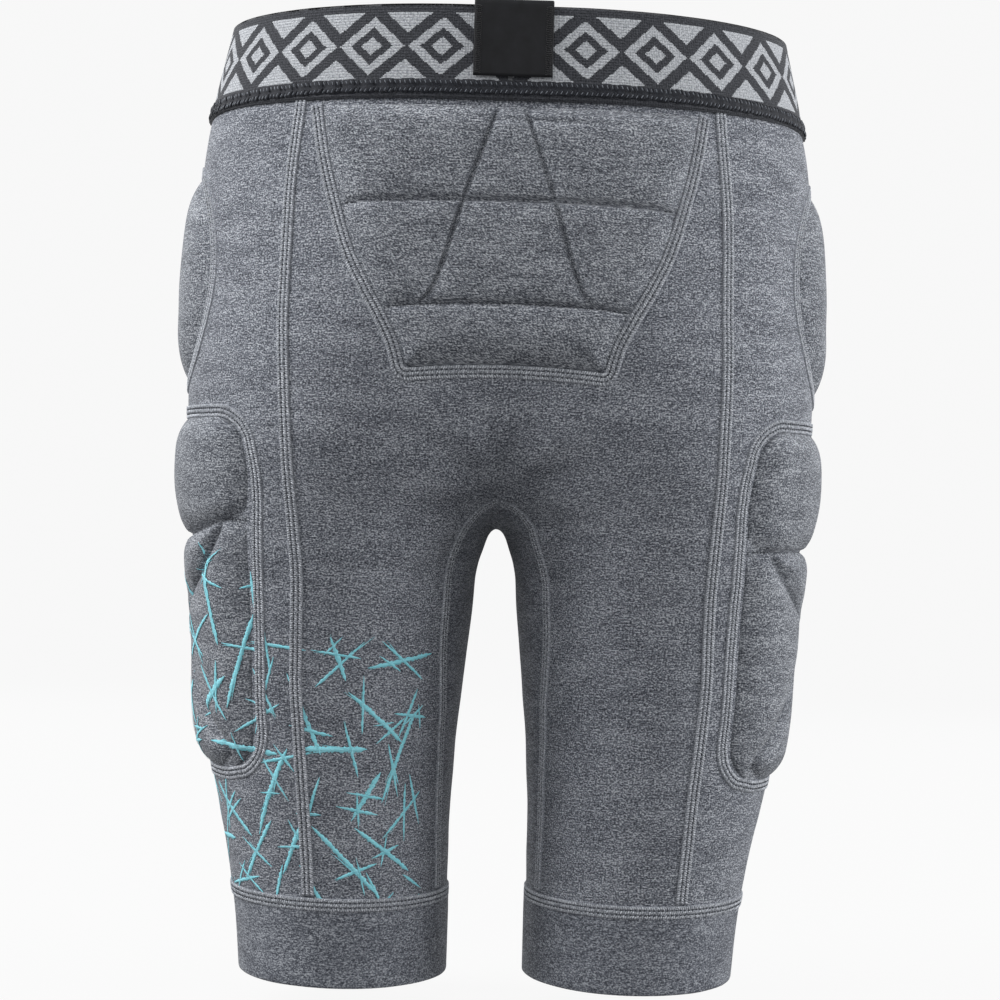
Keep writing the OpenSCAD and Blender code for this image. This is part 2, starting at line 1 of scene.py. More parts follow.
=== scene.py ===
"""Padded impact shorts: jersey panels, sewn-in foam pads, flatlock seams, cuffs and a jacquard waistband.

The wearer faces +Y and +X is the wearer's right. The garment's surface follows the CAD model's own section
curves, in millimetres below the waist's top edge, and every mesh is turned into metres as it is made.
"""
import functools
import math

import bmesh
import bpy
import numpy as np
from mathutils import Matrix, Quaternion, Vector


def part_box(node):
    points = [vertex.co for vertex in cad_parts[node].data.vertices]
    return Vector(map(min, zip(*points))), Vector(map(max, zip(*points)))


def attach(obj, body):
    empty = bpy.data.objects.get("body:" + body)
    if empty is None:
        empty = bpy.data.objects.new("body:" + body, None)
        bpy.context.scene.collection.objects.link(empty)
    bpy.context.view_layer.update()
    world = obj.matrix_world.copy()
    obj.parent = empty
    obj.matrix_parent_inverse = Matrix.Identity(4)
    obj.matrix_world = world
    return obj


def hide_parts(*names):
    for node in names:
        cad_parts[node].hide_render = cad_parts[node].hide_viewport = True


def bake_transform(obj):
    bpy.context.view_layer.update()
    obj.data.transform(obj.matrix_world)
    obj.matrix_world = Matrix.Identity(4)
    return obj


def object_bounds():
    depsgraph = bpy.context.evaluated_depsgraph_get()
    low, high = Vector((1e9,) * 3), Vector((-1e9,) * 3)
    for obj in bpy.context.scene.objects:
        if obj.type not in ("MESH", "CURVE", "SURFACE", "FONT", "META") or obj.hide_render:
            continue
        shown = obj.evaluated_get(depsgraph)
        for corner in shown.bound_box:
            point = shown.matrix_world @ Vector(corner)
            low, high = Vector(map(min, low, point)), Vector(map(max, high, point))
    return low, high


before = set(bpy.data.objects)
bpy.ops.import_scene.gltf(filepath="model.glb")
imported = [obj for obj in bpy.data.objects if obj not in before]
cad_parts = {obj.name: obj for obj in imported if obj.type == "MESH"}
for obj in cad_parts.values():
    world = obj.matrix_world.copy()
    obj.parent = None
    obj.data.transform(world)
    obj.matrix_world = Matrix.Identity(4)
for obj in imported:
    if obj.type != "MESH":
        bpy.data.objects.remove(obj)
cad_low, cad_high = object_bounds()

MM = 0.001

# ---- Sizes from the frame, in millimetres ----


def box_mm(node):
    """Lowest and highest corner of a CAD node."""
    low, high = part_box(node)
    return np.array(low) / MM, np.array(high) / MM


BAND_TOP = box_mm("waistband_elastic")[1][2]
CUFF_LOW, CUFF_HIGH = box_mm("cuff_right")
TAB_LOW, TAB_HIGH = box_mm("back_tab")
HIP_LOW, HIP_HIGH = box_mm("hip_pad_seam_right")
HEM = CUFF_LOW[2]
CUFF_TOP = CUFF_HIGH[2] + 0.5
BAND_FOOT = -46.0
TAB_HALF = TAB_HIGH[0]
TAB_FOOT = TAB_LOW[2]

FABRIC = 1.6
SEAM = 6.5
# Rounding of the saddle between the legs, and half the gusset's width there
SADDLE, GUSSET_TOP = 8.0, 47.0
# How far a pad's edge lies inside the middle of its seam
INSET = SEAM / 2 - 0.25
# Height of the seam under the waistband at the sides; it is lower in front by JOIN_TILT a millimetre
JOIN, JOIN_TILT = -44.0, 4 / 98

# ---- Section curves, the same as the CAD's ----


class Line:
    """Smooth curve through (height, value) stations, without overshoot."""

    def __init__(self, *stations):
        self.z, self.v = np.array(stations, float).T
        secant = np.diff(self.v) / np.diff(self.z)
        product = secant[:-1] * secant[1:]
        total = np.where(product > 0, secant[:-1] + secant[1:], 1.0)
        inner = np.where(product > 0, 2 * product / total, 0.0)
        self.slope = np.concatenate((secant[:1], inner, secant[-1:]))

    def __call__(self, z):
        z = np.asarray(z, float)
        i = np.clip(np.searchsorted(-self.z, -z) - 1, 0, len(self.z) - 2)
        h = self.z[i + 1] - self.z[i]
        s = (z - self.z[i]) / h
        return ((2 * s**3 - 3 * s**2 + 1) * self.v[i] + (s**3 - 2 * s**2 + s) * h * self.slope[i]
                + (3 * s**2 - 2 * s**3) * self.v[i + 1] + (s**3 - s**2) * h * self.slope[i + 1])


OUT = Line(
    (0, 141), (-36, 149), (-70, 155), (-130, 158), (-184, 159.5), (-215, 158), (-246, 155), (-308, 149.5),
    (-340, 147), (-370, 143.5), (-393, 139), (-424, 132.5), (-450, 128.5), (-478, 126))
DEEP = Line(
    (0, 95), (-40, 98), (-100, 100), (-150, 100), (-200, 96), (-250, 86), (-300, 78), (-350, 72), (-400, 67),
    (-440, 64), (-478, 63))
MIDDLE = Line((0, 0), (-60, -1), (-180, -4), (-300, 0), (-478, 2))
CHORD = Line(
    (0, 20), (-60, 30), (-120, 45), (-180, 62), (-230, 76), (-280, 80), (-350, 80), (-393, 79), (-424, 76),
    (-450, 74), (-478, 73))
INNER = Line(
    (0, -260), (-120, -260), (-170, -180), (-195, -110), (-210, -66), (-220, -38), (-230, -15), (-235, -7),
    (-243, 2), (-251, 8), (-262, 10.8), (-269, 12.4), (-277, 13.4), (-293, 13.9), (-316, 15.6), (-339, 17.6),
    (-362, 20), (-393, 21.4), (-478, 21.5))
SEAM_LINE = Line(
    (-40, 101), (-100, 106), (-165, 107), (-218, 106), (-250, 104), (-285, 102), (-320, 102), (-350, 100),
    (-385, 97), (-425, 94), (-478, 91))
# The left leg hangs turned a little, so its rear seam lies nearer the middle
REAR_SEAM_SHIFT = {-1: -5.0, 1: 1.5}
GUSSET_LINE = Line((-200, 47), (-272, 47), (-296, 46), (-350, 35), (-385, 30), (-478, 25))
TAIL_EDGE = Line(
    (-40, 95), (-72, 89.5), (-95, 83.5), (-117, 76.5), (-133, 69), (-149, 60.5), (-163, 54), (-178, 50))
TAIL_MIDDLE = Line((-45, 5), (-95, 22), (-136, 35), (-141, 38), (-146, 43), (-178, 46))
TAIL_ROWS = (-49.0, -95.0, -145.0, -178.0)
THIGH_EDGE = Line(
    (-196, 63), (-198, 69), (-203, 74.5), (-210, 77), (-222, 77.5), (-253, 73.5), (-295, 68), (-341, 63),
    (-354, 62), (-363, 60), (-370, 56), (-374, 51), (-376, 46))
THIGH_MIDDLE = Line(
    (-196, 55), (-258, 58), (-274, 43), (-292, 13), (-305, 8), (-319, 12), (-351, 38), (-363, 46), (-376, 40))
THIGH_ROWS = (-196.0, -258.0, -376.0)
HIP_Z = (HIP_LOW[2] + HIP_HIGH[2]) / 2
HIP_UP, HIP_ACROSS = 55.0, 48.0


def seam_x(z, side, front):
    """Distance of a long seam from the garment's middle plane."""
    if front > 0:
        return SEAM_LINE(z)
    return SEAM_LINE(z) + REAR_SEAM_SHIFT[side] * np.clip((-150 - z) / 120, 0, 1)


def half_cos(s):
    return np.sqrt(np.clip(1 - s * s, 0, None))


def eased(x):
    return np.sqrt(x * x + SADDLE**2)


def stack(x, y, z):
    return np.stack(np.broadcast_arrays(x, y, z), -1).astype(float)


def wall(side):
    """Chart (x, z) of the front (1) or rear (-1) wall."""

    def chart(x, z):
        a = np.abs(x)
        c = CHORD(z)
        s = np.where(a > c, (a - c) / (OUT(z) - c), (eased(c) - eased(a)) / (eased(c) - INNER(z)))
        return stack(x, MIDDLE(z) + side * DEEP(z) * half_cos(s), z)

    return chart


def arc(angle, z):
    """Chart (angle, z) of the outer side, with the angle in radians from the side towards the front."""
    c = CHORD(z)
    return stack(c + (OUT(z) - c) * np.cos(angle), MIDDLE(z) + DEEP(z) * np.sin(angle), z)


def flank(ahead, z):
    """Chart (distance forward of the middle, z) of the outer side."""
    c = CHORD(z)
    return stack(c + (OUT(z) - c) * half_cos(ahead / DEEP(z)), MIDDLE(z) + ahead, z)


def inner_x(ahead, z):
    """Inner side of the leg; 0 where the legs have joined."""
    c = eased(CHORD(z))
    k = c - (c - INNER(z)) * half_cos(ahead / DEEP(z))
    return np.sqrt(np.clip(k * k - SADDLE**2, 0, None)) * (k > SADDLE)


def saddle_z(ahead):
    """Height at which the inner sides join."""
    low, high = np.full_like(ahead, -270.0), np.full_like(ahead, -215.0)
    for _ in range(40):
        z = (low + high) / 2
        parted = inner_x(ahead, z) > 0
        low, high = np.where(parted, z, low), np.where(parted, high, z)
    return (low + high) / 2


def gusset(foot):
    """Chart (across p from rear to front, q from the foot at 0 to the saddle's ridge at 1)."""

    def chart(p, q):
        top = saddle_z(p * GUSSET_TOP)
        z = top + (foot - top) * (1 - q) ** 2
        ahead = p * GUSSET_LINE(z)
        return stack(np.sign(1 - q) * inner_x(ahead, z), MIDDLE(z) + ahead, z)

    return chart


def ring(angle, z):
    """Chart (angle, z) round the waist, from the right side through the front."""
    x = OUT(z) * np.cos(angle)
    front, rear = wall(1)(x, z), wall(-1)(x, z)
    return np.where((np.sin(angle) >= 0)[..., None], front, rear)


def leg_ring(angle, z):
    """Chart (angle, z) round one leg, from the outer side through the front."""
    p = arc(angle, z)
    p[..., 0] = np.where(np.cos(angle) >= 0, p[..., 0], inner_x(p[..., 1] - MIDDLE(z), z))
    return p


def turned(chart, side):
    """The chart on the wearer's right (1) or mirrored to the left (-1)."""
    return lambda u, v: chart(u, v) * np.array([side, 1.0, 1.0])


def join_z(y):
    return JOIN - JOIN_TILT * y


def join_on(chart, u):
    """Height of the seam under the waistband at places along a chart."""
    return join_z(chart(u, np.full_like(u, JOIN))[..., 1])


# ---- Relief of the cloth ----

LATTICE = np.random.default_rng(11).uniform(-1, 1, (16, 16, 16))


def drift(p, size):
    """Smooth noise from -1 to 1 with features of about the given size."""
    q = p / np.array(size, float)
    i = np.floor(q).astype(int)
    f = q - i
    f = f * f * (3 - 2 * f)
    total = 0.0
    for corner in np.ndindex(2, 2, 2):
        w = np.prod(np.where(corner, f, 1 - f), axis=-1)
        j = (i + corner) % 16
        total = total + w * LATTICE[j[..., 0], j[..., 1], j[..., 2]]
    return total


def bell(x, width):
    return np.exp(-((x / width) ** 2))


def relief(p):
    """How far the cloth stands off the smooth surface."""
    x, y, z = p[..., 0], p[..., 1], p[..., 2]
    height = 0.5 * drift(p, (52, 60, 34)) + 0.22 * drift(p + 300, (20, 26, 13))
    height = height * np.clip((join_z(y) - z) / 16, 0, 1)
    # Drag lines that spread from the crotch
    r = np.hypot(x, z + 238)
    turn = np.arctan2(z + 238, np.abs(x) + 6)
    drag = np.sin(9 * turn + 0.8 * np.tanh(x / 12)) * np.clip(np.abs(y) / 20 - 1, 0, 1)
    height = height + 0.8 * bell(r - 34, 26) * drag
    # Gathers under the waistband
    below = np.clip(join_z(y) - z, 0, None)
    girth = np.arctan2(y / 98, x / 150) * 140
    height = height - 0.28 * np.exp(-below / 10) * (1 + np.sin(girth / 1.35 + 2 * drift(p, (30, 30, 90))))
    # The short fold between the buttocks
    height = height - 1.7 * bell(x + 1.5 - (z + 240) * 0.12, 1.9) * bell(z + 242, 9) * (y < 0)
    return height


def pucker(distance, run):
    """Small dips of the cloth beside a seam."""
    return -0.2 * bell(distance - 4.2, 3.2) * (1 + np.sin(run * 0.95 + 1.3 * np.sin(run * 0.21)))


def outward(chart, u, v, p, step):
    """Unit normals of a chart, away from the limb's middle; step is the move in (u, v) to measure over."""
    du, dv = step
    n = np.cross(chart(u + du, v) - chart(u - du, v), chart(u, v + dv) - chart(u, v - dv))
    n = n / np.maximum(np.linalg.norm(n, axis=-1, keepdims=True), 1e-9)
    away = p - stack(np.sign(p[..., 0]) * CHORD(p[..., 2]), MIDDLE(p[..., 2]), p[..., 2] + 40)
    return n * np.where(np.sum(n * away, -1, keepdims=True) < 0, -1.0, 1.0)


# Moves in (u, v) for charts in millimetres, in an angle and millimetres, and in shares
PLAIN, ANGULAR, SHARE = (0.25, 0.25), (0.003, 0.25), (0.004, 0.004)


def worn(chart, step=PLAIN, extra=None):
    """The chart with the cloth's relief, and extra(u, v, point) millimetres more."""

    def place(u, v):
        p = chart(u, v)
        n = outward(chart, u, v, p, step)
        height = relief(p)
        if extra is not None:
            height = height + extra(u, v, p)
        return p + n * height[..., None]

    place.step = step
    return place


# ---- Mesh building ----


class Mesh:
    """Points, faces, rest coordinates and materials gathered into one object, in millimetres."""

    def __init__(self):
        self.points, self.faces, self.cloth, self.normals, self.material = [], [], [], [], []
        self.count = 0

    def add(self, points, faces, cloth=None, material=0, normals=None):
        points = np.asarray(points, float).reshape(-1, 3)
        cloth = points if cloth is None else np.asarray(cloth, float).reshape(-1, 3)
        faces = [np.asarray(f, int) + self.count for f in faces]
        self.points.append(points)
        self.cloth.append(cloth)
        self.normals.append(np.zeros_like(points) if normals is None else normals.reshape(-1, 3))
        for f in faces:
            rows = f.reshape(-1, f.shape[-1]).tolist()
            self.faces.extend(rows)
            self.material.extend([material] * len(rows))
        self.count += len(points)

    def make(self, name, *materials, exact=False):
        mesh = bpy.data.meshes.new(name)
        mesh.from_pydata((np.concatenate(self.points) * MM).tolist(), [], self.faces)
        mesh.polygons.foreach_set("use_smooth", [True] * len(mesh.polygons))
        mesh.polygons.foreach_set("material_index", self.material)
        rest = mesh.attributes.new("cloth", "FLOAT_VECTOR", "POINT")
        rest.data.foreach_set("vector", np.concatenate(self.cloth).astype(np.float32).ravel())
        for material in materials:
            mesh.materials.append(material)
        if exact:
            mesh.normals_split_custom_set_from_vertices(np.concatenate(self.normals).tolist())
        mesh.update()
        obj = bpy.data.objects.new(name, mesh)
        bpy.context.scene.collection.objects.link(obj)
        return obj


def spans(points, axis):
    """Running length along an axis of a grid of points."""
    step = np.linalg.norm(np.diff(points, axis=axis), axis=-1)
    zero = np.zeros_like(np.take(step, [0], axis=axis))
    return np.concatenate((zero, np.cumsum(step, axis=axis)), axis=axis)


def quads(index):
    """Faces of a grid of point numbers."""
    return np.stack((index[:-1, :-1], index[:-1, 1:], index[1:, 1:], index[1:, :-1]), -1).reshape(-1, 4)


def shell_parts(top, normal):
    """Faces of a closed layer between two grids of the same shape."""
    rows, cols = top.shape[:2]
    total = rows * cols
    index = np.arange(total).reshape(rows, cols)
    upper = quads(index)
    rim = np.concatenate((index[0], index[1:, -1], index[-1, -2::-1], index[-2:0:-1, 0]))
    after = np.roll(rim, -1)
    sides = np.stack((after, rim, rim + total, after + total), -1)
    faces = np.concatenate((upper, upper[:, ::-1] + total, sides))
    i, j = rows // 2 - 1, cols // 2 - 1
    turn = np.cross(top[i, j + 1] - top[i, j], top[i + 1, j] - top[i, j]) @ normal[i, j]
    return faces if turn > 0 else faces[:, ::-1]


def add_shell(mesh, place, u, v, thick, tag=0.0, cloth=None, low=None):
    """Closed layer below place(u, v), by a thickness or down to low(u, v); cloth is its rest coordinates."""
    top = place(u, v)
    normal = outward(place, u, v, top, place.step)
    under = top - normal * thick if low is None else low(u, v)
    if cloth is None:
        cloth = stack(spans(top, 1), top[..., 2], tag)
    mesh.add(np.stack((top, under)), [shell_parts(top, normal)], np.stack((cloth, cloth)), 0,
             np.stack((normal, -normal)))
    return top


def flat_size(top):
    """Width, length and area of a piece laid flat, in metres."""
    width = spans(top, 1)[:, -1].max()
    length = spans(top, 0)[-1].max()
    a, b, c, d = top[:-1, :-1], top[:-1, 1:], top[1:, 1:], top[1:, :-1]
    area = np.linalg.norm(np.cross(c - a, d - b), axis=-1).sum() / 2
    return (width * MM, length * MM), min(area, width * length) * MM**2


def add_tube(mesh, points, cloth=None, material=0, closed=True):
    """Closed body from rows of points that are loops; the last row joins the first, or both have caps."""
    rows, cols = points.shape[:2]
    index = np.arange(rows * cols).reshape(rows, cols)
    caps = [] if closed else [np.stack((index[0, ::-1], index[-1]))]
    if closed:
        index = np.concatenate((index, index[:1]))
    index = np.concatenate((index, index[:, :1]), axis=1)
    out = points[0, 0] - points[0].mean(axis=0)
    turn = np.cross(points[0, 1] - points[0, 0], points[1, 0] - points[0, 0]) @ out
    way = 1 if turn > 0 else -1
    mesh.add(points, [faces[:, ::way] for faces in [quads(index), *caps]], cloth, material)


# ---- Stitches ----

# Sides of a thread bar, and its rings: place along it and size
BAR_RING, BAR_STATIONS = 5, ((-0.44, 0.72), (-0.18, 1.0), (0.18, 1.0), (0.44, 0.72))


def add_bars(mesh, centre, along, up, length, width, height, material):
    """Rounded thread bars, one for each centre, lying along a direction."""
    across = np.cross(up, along)
    turn = np.arange(BAR_RING) / BAR_RING * 2 * math.pi
    template = [(-0.5, 0.0, 0.0)]
    for station, size in BAR_STATIONS:
        template += [(station, size * math.cos(t), size * math.sin(t)) for t in turn]
    template = np.array(template + [(0.5, 0.0, 0.0)]) * (length, width / 2, height / 2)
    axes = np.stack((along, across, up), 1)
    points = centre[:, None] + np.einsum("tk,nkd->ntd", template, axes)
    ring, last = np.arange(BAR_RING), len(template) - 1
    after = (ring + 1) % BAR_RING
    sides = [np.stack((1 + k + ring, 1 + k + BAR_RING + ring, 1 + k + BAR_RING + after, 1 + k + after), -1)
             for k in range(0, BAR_RING * (len(BAR_STATIONS) - 1), BAR_RING)]
    tail = last - BAR_RING
    tips = np.concatenate((np.stack((0 * ring, 1 + ring, 1 + after), -1),
                           np.stack((0 * ring + last, tail + after, tail + ring), -1)))
    start = (np.arange(len(centre)) * len(template))[:, None, None]
    faces = [(f[:, ::-1] + start).reshape(-1, f.shape[-1]) for f in (np.concatenate(sides), tips)]
    mesh.add(points, faces, None, material)


def even_path(chart, step, u, v, pitch, closed=False):
    """Points, normals, tangents and chart coordinates at an even pitch along a path in a chart."""
    dense = np.linspace(0, 1, 900)
    place = np.linspace(0, 1, len(u))
    u, v = np.interp(dense, place, u), np.interp(dense, place, v)
    run = spans(chart(u, v), 0)
    count = max(2, round(run[-1] / pitch / 2) * 2)
    mark = np.linspace(0, run[-1], count + 1)
    if closed:
        mark = mark[:-1]
    u, v = np.interp(mark, run, u), np.interp(mark, run, v)
    p = chart(u, v)
    normal = outward(chart, u, v, p, step)
    if closed:
        tangent = np.roll(p, -1, 0) - np.roll(p, 1, 0)
    else:
        tangent = np.gradient(p, axis=0)
    tangent /= np.linalg.norm(tangent, axis=-1, keepdims=True)
    normal -= tangent * np.sum(normal * tangent, -1, keepdims=True)
    normal /= np.linalg.norm(normal, axis=-1, keepdims=True)
    return p + normal * relief(p)[:, None], normal, tangent, u, v


# Pitch of the needle holes, whose shade is painted as dark bars, and how far their rows and the outer threads
# lie from a flatlock seam's middle
STITCH, HOLE_ROW, THREAD_ROW = 2.3, 1.25, 2.2
# Across a flatlock seam: place, height between needle holes and height at one
FLATLOCK = ((-3.25, 0.0, 0.0), (-2.95, 0.3, 0.28), (-2.2, 0.6, 0.55), (-1.6, 0.5, 0.35), (-1.25, 0.4, 0.0),
            (-0.9, 0.5, 0.35), (0.0, 0.65, 0.6), (0.9, 0.5, 0.35), (1.25, 0.4, 0.0), (1.6, 0.5, 0.35),
            (2.2, 0.6, 0.55), (2.95, 0.3, 0.28), (3.25, 0.0, 0.0))


def add_ribbon(mesh, p, normal, across, profile, closed, material):
    """Closed strip with a raised profile; the profile's heights alternate along the path."""
    profile = np.array(profile)
    between = (np.arange(len(p)) % 2)[:, None]
    height = profile[:, 1] * between + profile[:, 2] * (1 - between)
    top = p[:, None] + across[:, None] * profile[:, :1] + normal[:, None] * height[..., None]
    edge = profile[[-1, 0], 0] * 0.97
    low = p[:, None] + across[:, None] * edge[:, None] - normal[:, None] * 0.3
    add_tube(mesh, np.concatenate((top, low), axis=1), None, material, closed)


def flatlock(name, chart, step, u, v, closed=False, seed=1):
    """Flat seam along a path: a ribbon, three columns of thread and two rows of painted shade for needle
    holes.
    """
    p, normal, tangent, _, _ = even_path(chart, step, u, v, STITCH / 2, closed)
    across = np.cross(normal, tangent)
    mesh = Mesh()
    add_ribbon(mesh, p, normal, across, FLATLOCK, closed, 0)
    draw = np.random.default_rng(seed)
    ends = 0 if closed else 1
    pick = np.arange(ends, len(p) - ends)
    for column, lift in ((-THREAD_ROW, 0.5), (0.0, 0.58), (THREAD_ROW, 0.5)):
        slant = np.radians(24 * (1 if column <= 0 else -1) + draw.normal(0, 6, len(pick)))[:, None]
        along = across[pick] * np.cos(slant) + tangent[pick] * np.sin(slant)
        centre = p[pick] + across[pick] * column + normal[pick] * lift
        centre = centre + across[pick] * draw.normal(0, 0.07, (len(pick), 1))
        add_bars(mesh, centre, along, normal[pick], 1.8, 0.86, 0.85, 1)
    # Dark bars in the two hole rows paint the shade inside the needle holes
    holes = pick[pick % 2 == 0]
    for row in (-HOLE_ROW, HOLE_ROW):
        centre = p[holes] + across[holes] * (row + draw.normal(0, 0.1, (len(holes), 1))) + normal[holes] * 0.6
        add_bars(mesh, centre, tangent[holes], normal[holes], 1.1, 0.8, 0.6, 2)
    return mesh.make(name, MATERIAL["seam_ground"], MATERIAL["seam_thread"], MATERIAL["painted_shade_bar"])


# ---- Materials ----


def tone(red, green, blue):
    """Linear colour of a display colour from 0 to 255."""
    c = np.array((red, green, blue)) / 255
    return (*np.where(c <= 0.04045, c / 12.92, ((c + 0.055) / 1.055) ** 2.4), 1.0)


MOTIF_PITCH = 34.0


class Shader:
    """Node material on the cloth's rest coordinates, so that its pattern stays put as the cloth moves."""

    def __init__(self, name, roughness, sheen=0.0, specular=0.3):
        self.material = bpy.data.materials.new(name)
        self.material.use_nodes = True
        self.tree = self.material.node_tree
        self.bsdf = self.tree.nodes["Principled BSDF"]
        self.feed(self.bsdf, {"Roughness": roughness, "Specular IOR Level": specular, "Sheen Weight": sheen,
                              "Sheen Roughness": 0.45})
        self.cloth = self.node("ShaderNodeAttribute", {}, attribute_name="cloth").outputs["Vector"]

    def feed(self, node, inputs):
        """Sets or links inputs, each named or numbered."""
        for key, value in inputs.items():
            if isinstance(value, bpy.types.NodeSocket):
                self.tree.links.new(value, node.inputs[key])
            else:
                node.inputs[key].default_value = value

    def node(self, kind, inputs, **settings):
        made = self.tree.nodes.new(kind)
        for key, value in settings.items():
            setattr(made, key, value)
        self.feed(made, inputs)
        return made

    def math(self, operation, *values):
        return self.node("ShaderNodeMath", dict(enumerate(values)), operation=operation).outputs[0]

    def total(self, *terms):
        """Sum of (value, weight) terms."""
        parts = [self.math("MULTIPLY", value, weight) for value, weight in terms]
        return functools.reduce(lambda a, b: self.math("ADD", a, b), parts)

    def axis(self, name):
        return self.node("ShaderNodeSeparateXYZ", {0: self.cloth}).outputs[name]

    def wave(self, name, pace):
        """Sine along a rest coordinate; pace is in radians a millimetre."""
        return self.math("SINE", self.math("MULTIPLY", self.axis(name), pace))

    def noise(self, size, detail=2.0, roughness=0.55):
        """Noise from 0 to 1 with features of the given size in millimetres along each rest coordinate."""
        inputs = {0: self.cloth, 1: [1 / s for s in size]}
        stretched = self.node("ShaderNodeVectorMath", inputs, operation="MULTIPLY").outputs[0]
        inputs = {"Vector": stretched, "Scale": 1.0, "Detail": detail, "Roughness": roughness}
        return self.node("ShaderNodeTexNoise", inputs).outputs[0]

    def ramp(self, value, *stops):
        made = self.node("ShaderNodeValToRGB", {0: value})
        points = made.color_ramp.elements
        while len(points) < len(stops):
            points.new(0.5)
        for point, (place, color) in zip(points, stops):
            point.position = place
            point.color = color
        return made.outputs[0]

    def mix(self, factor, a, b):
        return self.node("ShaderNodeMix", {0: factor, 6: a, 7: b}, data_type="RGBA").outputs[2]

    def finish(self, color, height, distance):
        """The material, with a colour and with a bump of the given depth in metres."""
        bump = self.node("ShaderNodeBump", {"Strength": 1.0, "Distance": distance, "Height": height})
        self.feed(self.bsdf, {"Base Color": color, "Normal": bump.outputs[0]})
        return self.material


def heather(name, dark, middle, light, sheen=0.1):
    """Melange jersey: specks and short streaks of dark and light fibre in a fine knit."""
    shader = Shader(name, 0.9, sheen)
    grain = shader.noise((1.0, 0.72, 1.0), 1.0, 0.6)
    streak = shader.noise((3.4, 0.8, 3.4), 2.0, 0.6)
    cloudy = shader.noise((24.0, 8.0, 24.0), 2.0, 0.5)
    amount = shader.total((grain, 0.64), (streak, 0.36), (shader.math("SUBTRACT", cloudy, 0.5), 0.12))
    color = shader.ramp(amount, (0.36, dark), (0.5, middle), (0.64, light))
    knit = shader.math("MULTIPLY", shader.wave("X", 7.4), shader.wave("Y", 9.6))
    return shader.finish(color, shader.total((knit, 0.18), (streak, 1.0), (grain, 1.0)), 0.00016)


def yarn(name, dark, light, size=0.7, roughness=0.75, sheen=0.1):
    """Thread or dyed webbing with fine variation."""
    shader = Shader(name, roughness, sheen)
    color = shader.ramp(shader.noise((size, size, size), 2.0), (0.35, dark), (0.65, light))
    return shader.finish(color, shader.noise((size * 0.4,) * 3, 1.0), 0.00012)


def jacquard(name, ground_dark, ground_light, motif):
    """Waistband elastic: a woven row of nested diamonds on dark heather, with fine ribs."""
    shader = Shader(name, 0.85, 0.08)
    run = shader.math("SNAP", shader.axis("X"), 0.7)
    rise = shader.math("SNAP", shader.axis("Y"), 0.7)
    across = shader.math("PINGPONG", run, MOTIF_PITCH / 2)
    up = shader.math("ABSOLUTE", shader.math("ADD", rise, 21.0))
    far = shader.math("ADD", shader.math("DIVIDE", across, MOTIF_PITCH / 2), shader.math("DIVIDE", up, 15.0))
    line = shader.math("LESS_THAN", shader.math("ABSOLUTE", shader.math("SUBTRACT", far, 0.78)), 0.17)
    core = shader.math("LESS_THAN", far, 0.3)
    corner = shader.math("GREATER_THAN", far, 1.42)
    mask = shader.math("MAXIMUM", shader.math("MAXIMUM", line, core), corner)
    mask = shader.math("MULTIPLY", mask, shader.math("LESS_THAN", up, 16.5))
    grain = shader.noise((1.1, 0.8, 1.0), 2.0, 0.65)
    ground = shader.ramp(grain, (0.36, ground_dark), (0.64, ground_light))
    bright = shader.ramp(grain, (0.34, tone(128, 132, 138)), (0.62, motif))
    ribs = shader.wave("Y", 4.6), shader.wave("X", 5.2)
    height = shader.total((ribs[0], 0.4), (ribs[1], 0.25), (grain, 1.0), (mask, 0.8))
    return shader.finish(shader.mix(mask, ground, bright), height, 0.00022)


def moulded(name, dark, light):
    """Smooth soft-touch tab with a faint grain."""
    shader = Shader(name, 0.6, 0.03, 0.22)
    color = shader.ramp(shader.noise((6.0, 6.0, 6.0), 3.0), (0.3, dark), (0.7, light))
    return shader.finish(color, shader.noise((0.35, 0.35, 0.35), 1.0), 0.00005)


def printed(name, ink, pale, cloth):
    """Screen print, worn so that specks of the jersey show."""
    shader = Shader(name, 0.75, 0.05, 0.25)
    color = shader.ramp(shader.noise((1.2, 0.8, 1.2), 2.0), (0.35, ink), (0.65, pale))
    specks = shader.noise((0.9, 0.6, 0.9), 2.0, 0.7)
    wear = shader.ramp(specks, (0.6, tone(0, 0, 0)), (0.68, tone(225, 225, 225)))
    return shader.finish(shader.mix(wear, color, cloth), shader.noise((0.6, 0.3, 0.6), 2.0), 0.00008)


JERSEY = (tone(46, 49, 57), tone(106, 110, 119), tone(188, 192, 199))
PAD_JERSEY = (tone(46, 49, 57), tone(106, 110, 118), tone(188, 192, 198))
MATERIAL = {
    "body": heather("body_jersey", *JERSEY),
    "pad": heather("pad_jersey", *PAD_JERSEY),
    "gusset": heather("gusset_jersey", tone(48, 51, 59), tone(104, 108, 117), tone(180, 184, 191)),
    "cuff": heather("cuff_jersey", tone(56, 59, 67), tone(102, 106, 115), tone(166, 170, 177)),
    "seam_ground": yarn("flatlock_ground", tone(98, 102, 110), tone(160, 164, 172)),
    "seam_thread": yarn("flatlock_thread", tone(116, 120, 128), tone(212, 216, 223), 1.0),
    # Painted shade: dark bars for the shade in needle holes, also used for the pads' channel stitches to
    # paint the channels' shade
    "painted_shade_bar": yarn("painted_shade_bar", tone(46, 49, 56), tone(78, 82, 89)),
    "band": jacquard("band_elastic", tone(34, 36, 41), tone(70, 72, 78), tone(192, 195, 200)),
    "overlock": yarn("black_overlock", tone(18, 20, 26), tone(42, 45, 53)),
    "fleck": yarn("overlock_fleck", tone(92, 97, 106), tone(140, 145, 153)),
    "tab": moulded("black_tab", tone(16, 17, 20), tone(25, 26, 30)),
    "satin": yarn("black_thread", tone(14, 15, 18), tone(28, 29, 33), 0.5, 0.6, 0.1),
    "print": printed("scratch_print", tone(124, 206, 220), tone(156, 224, 236), JERSEY[1]),
}

# ---- Pieces: bodies and baked transforms ----

SIDES = {-1: "left", 1: "right"}


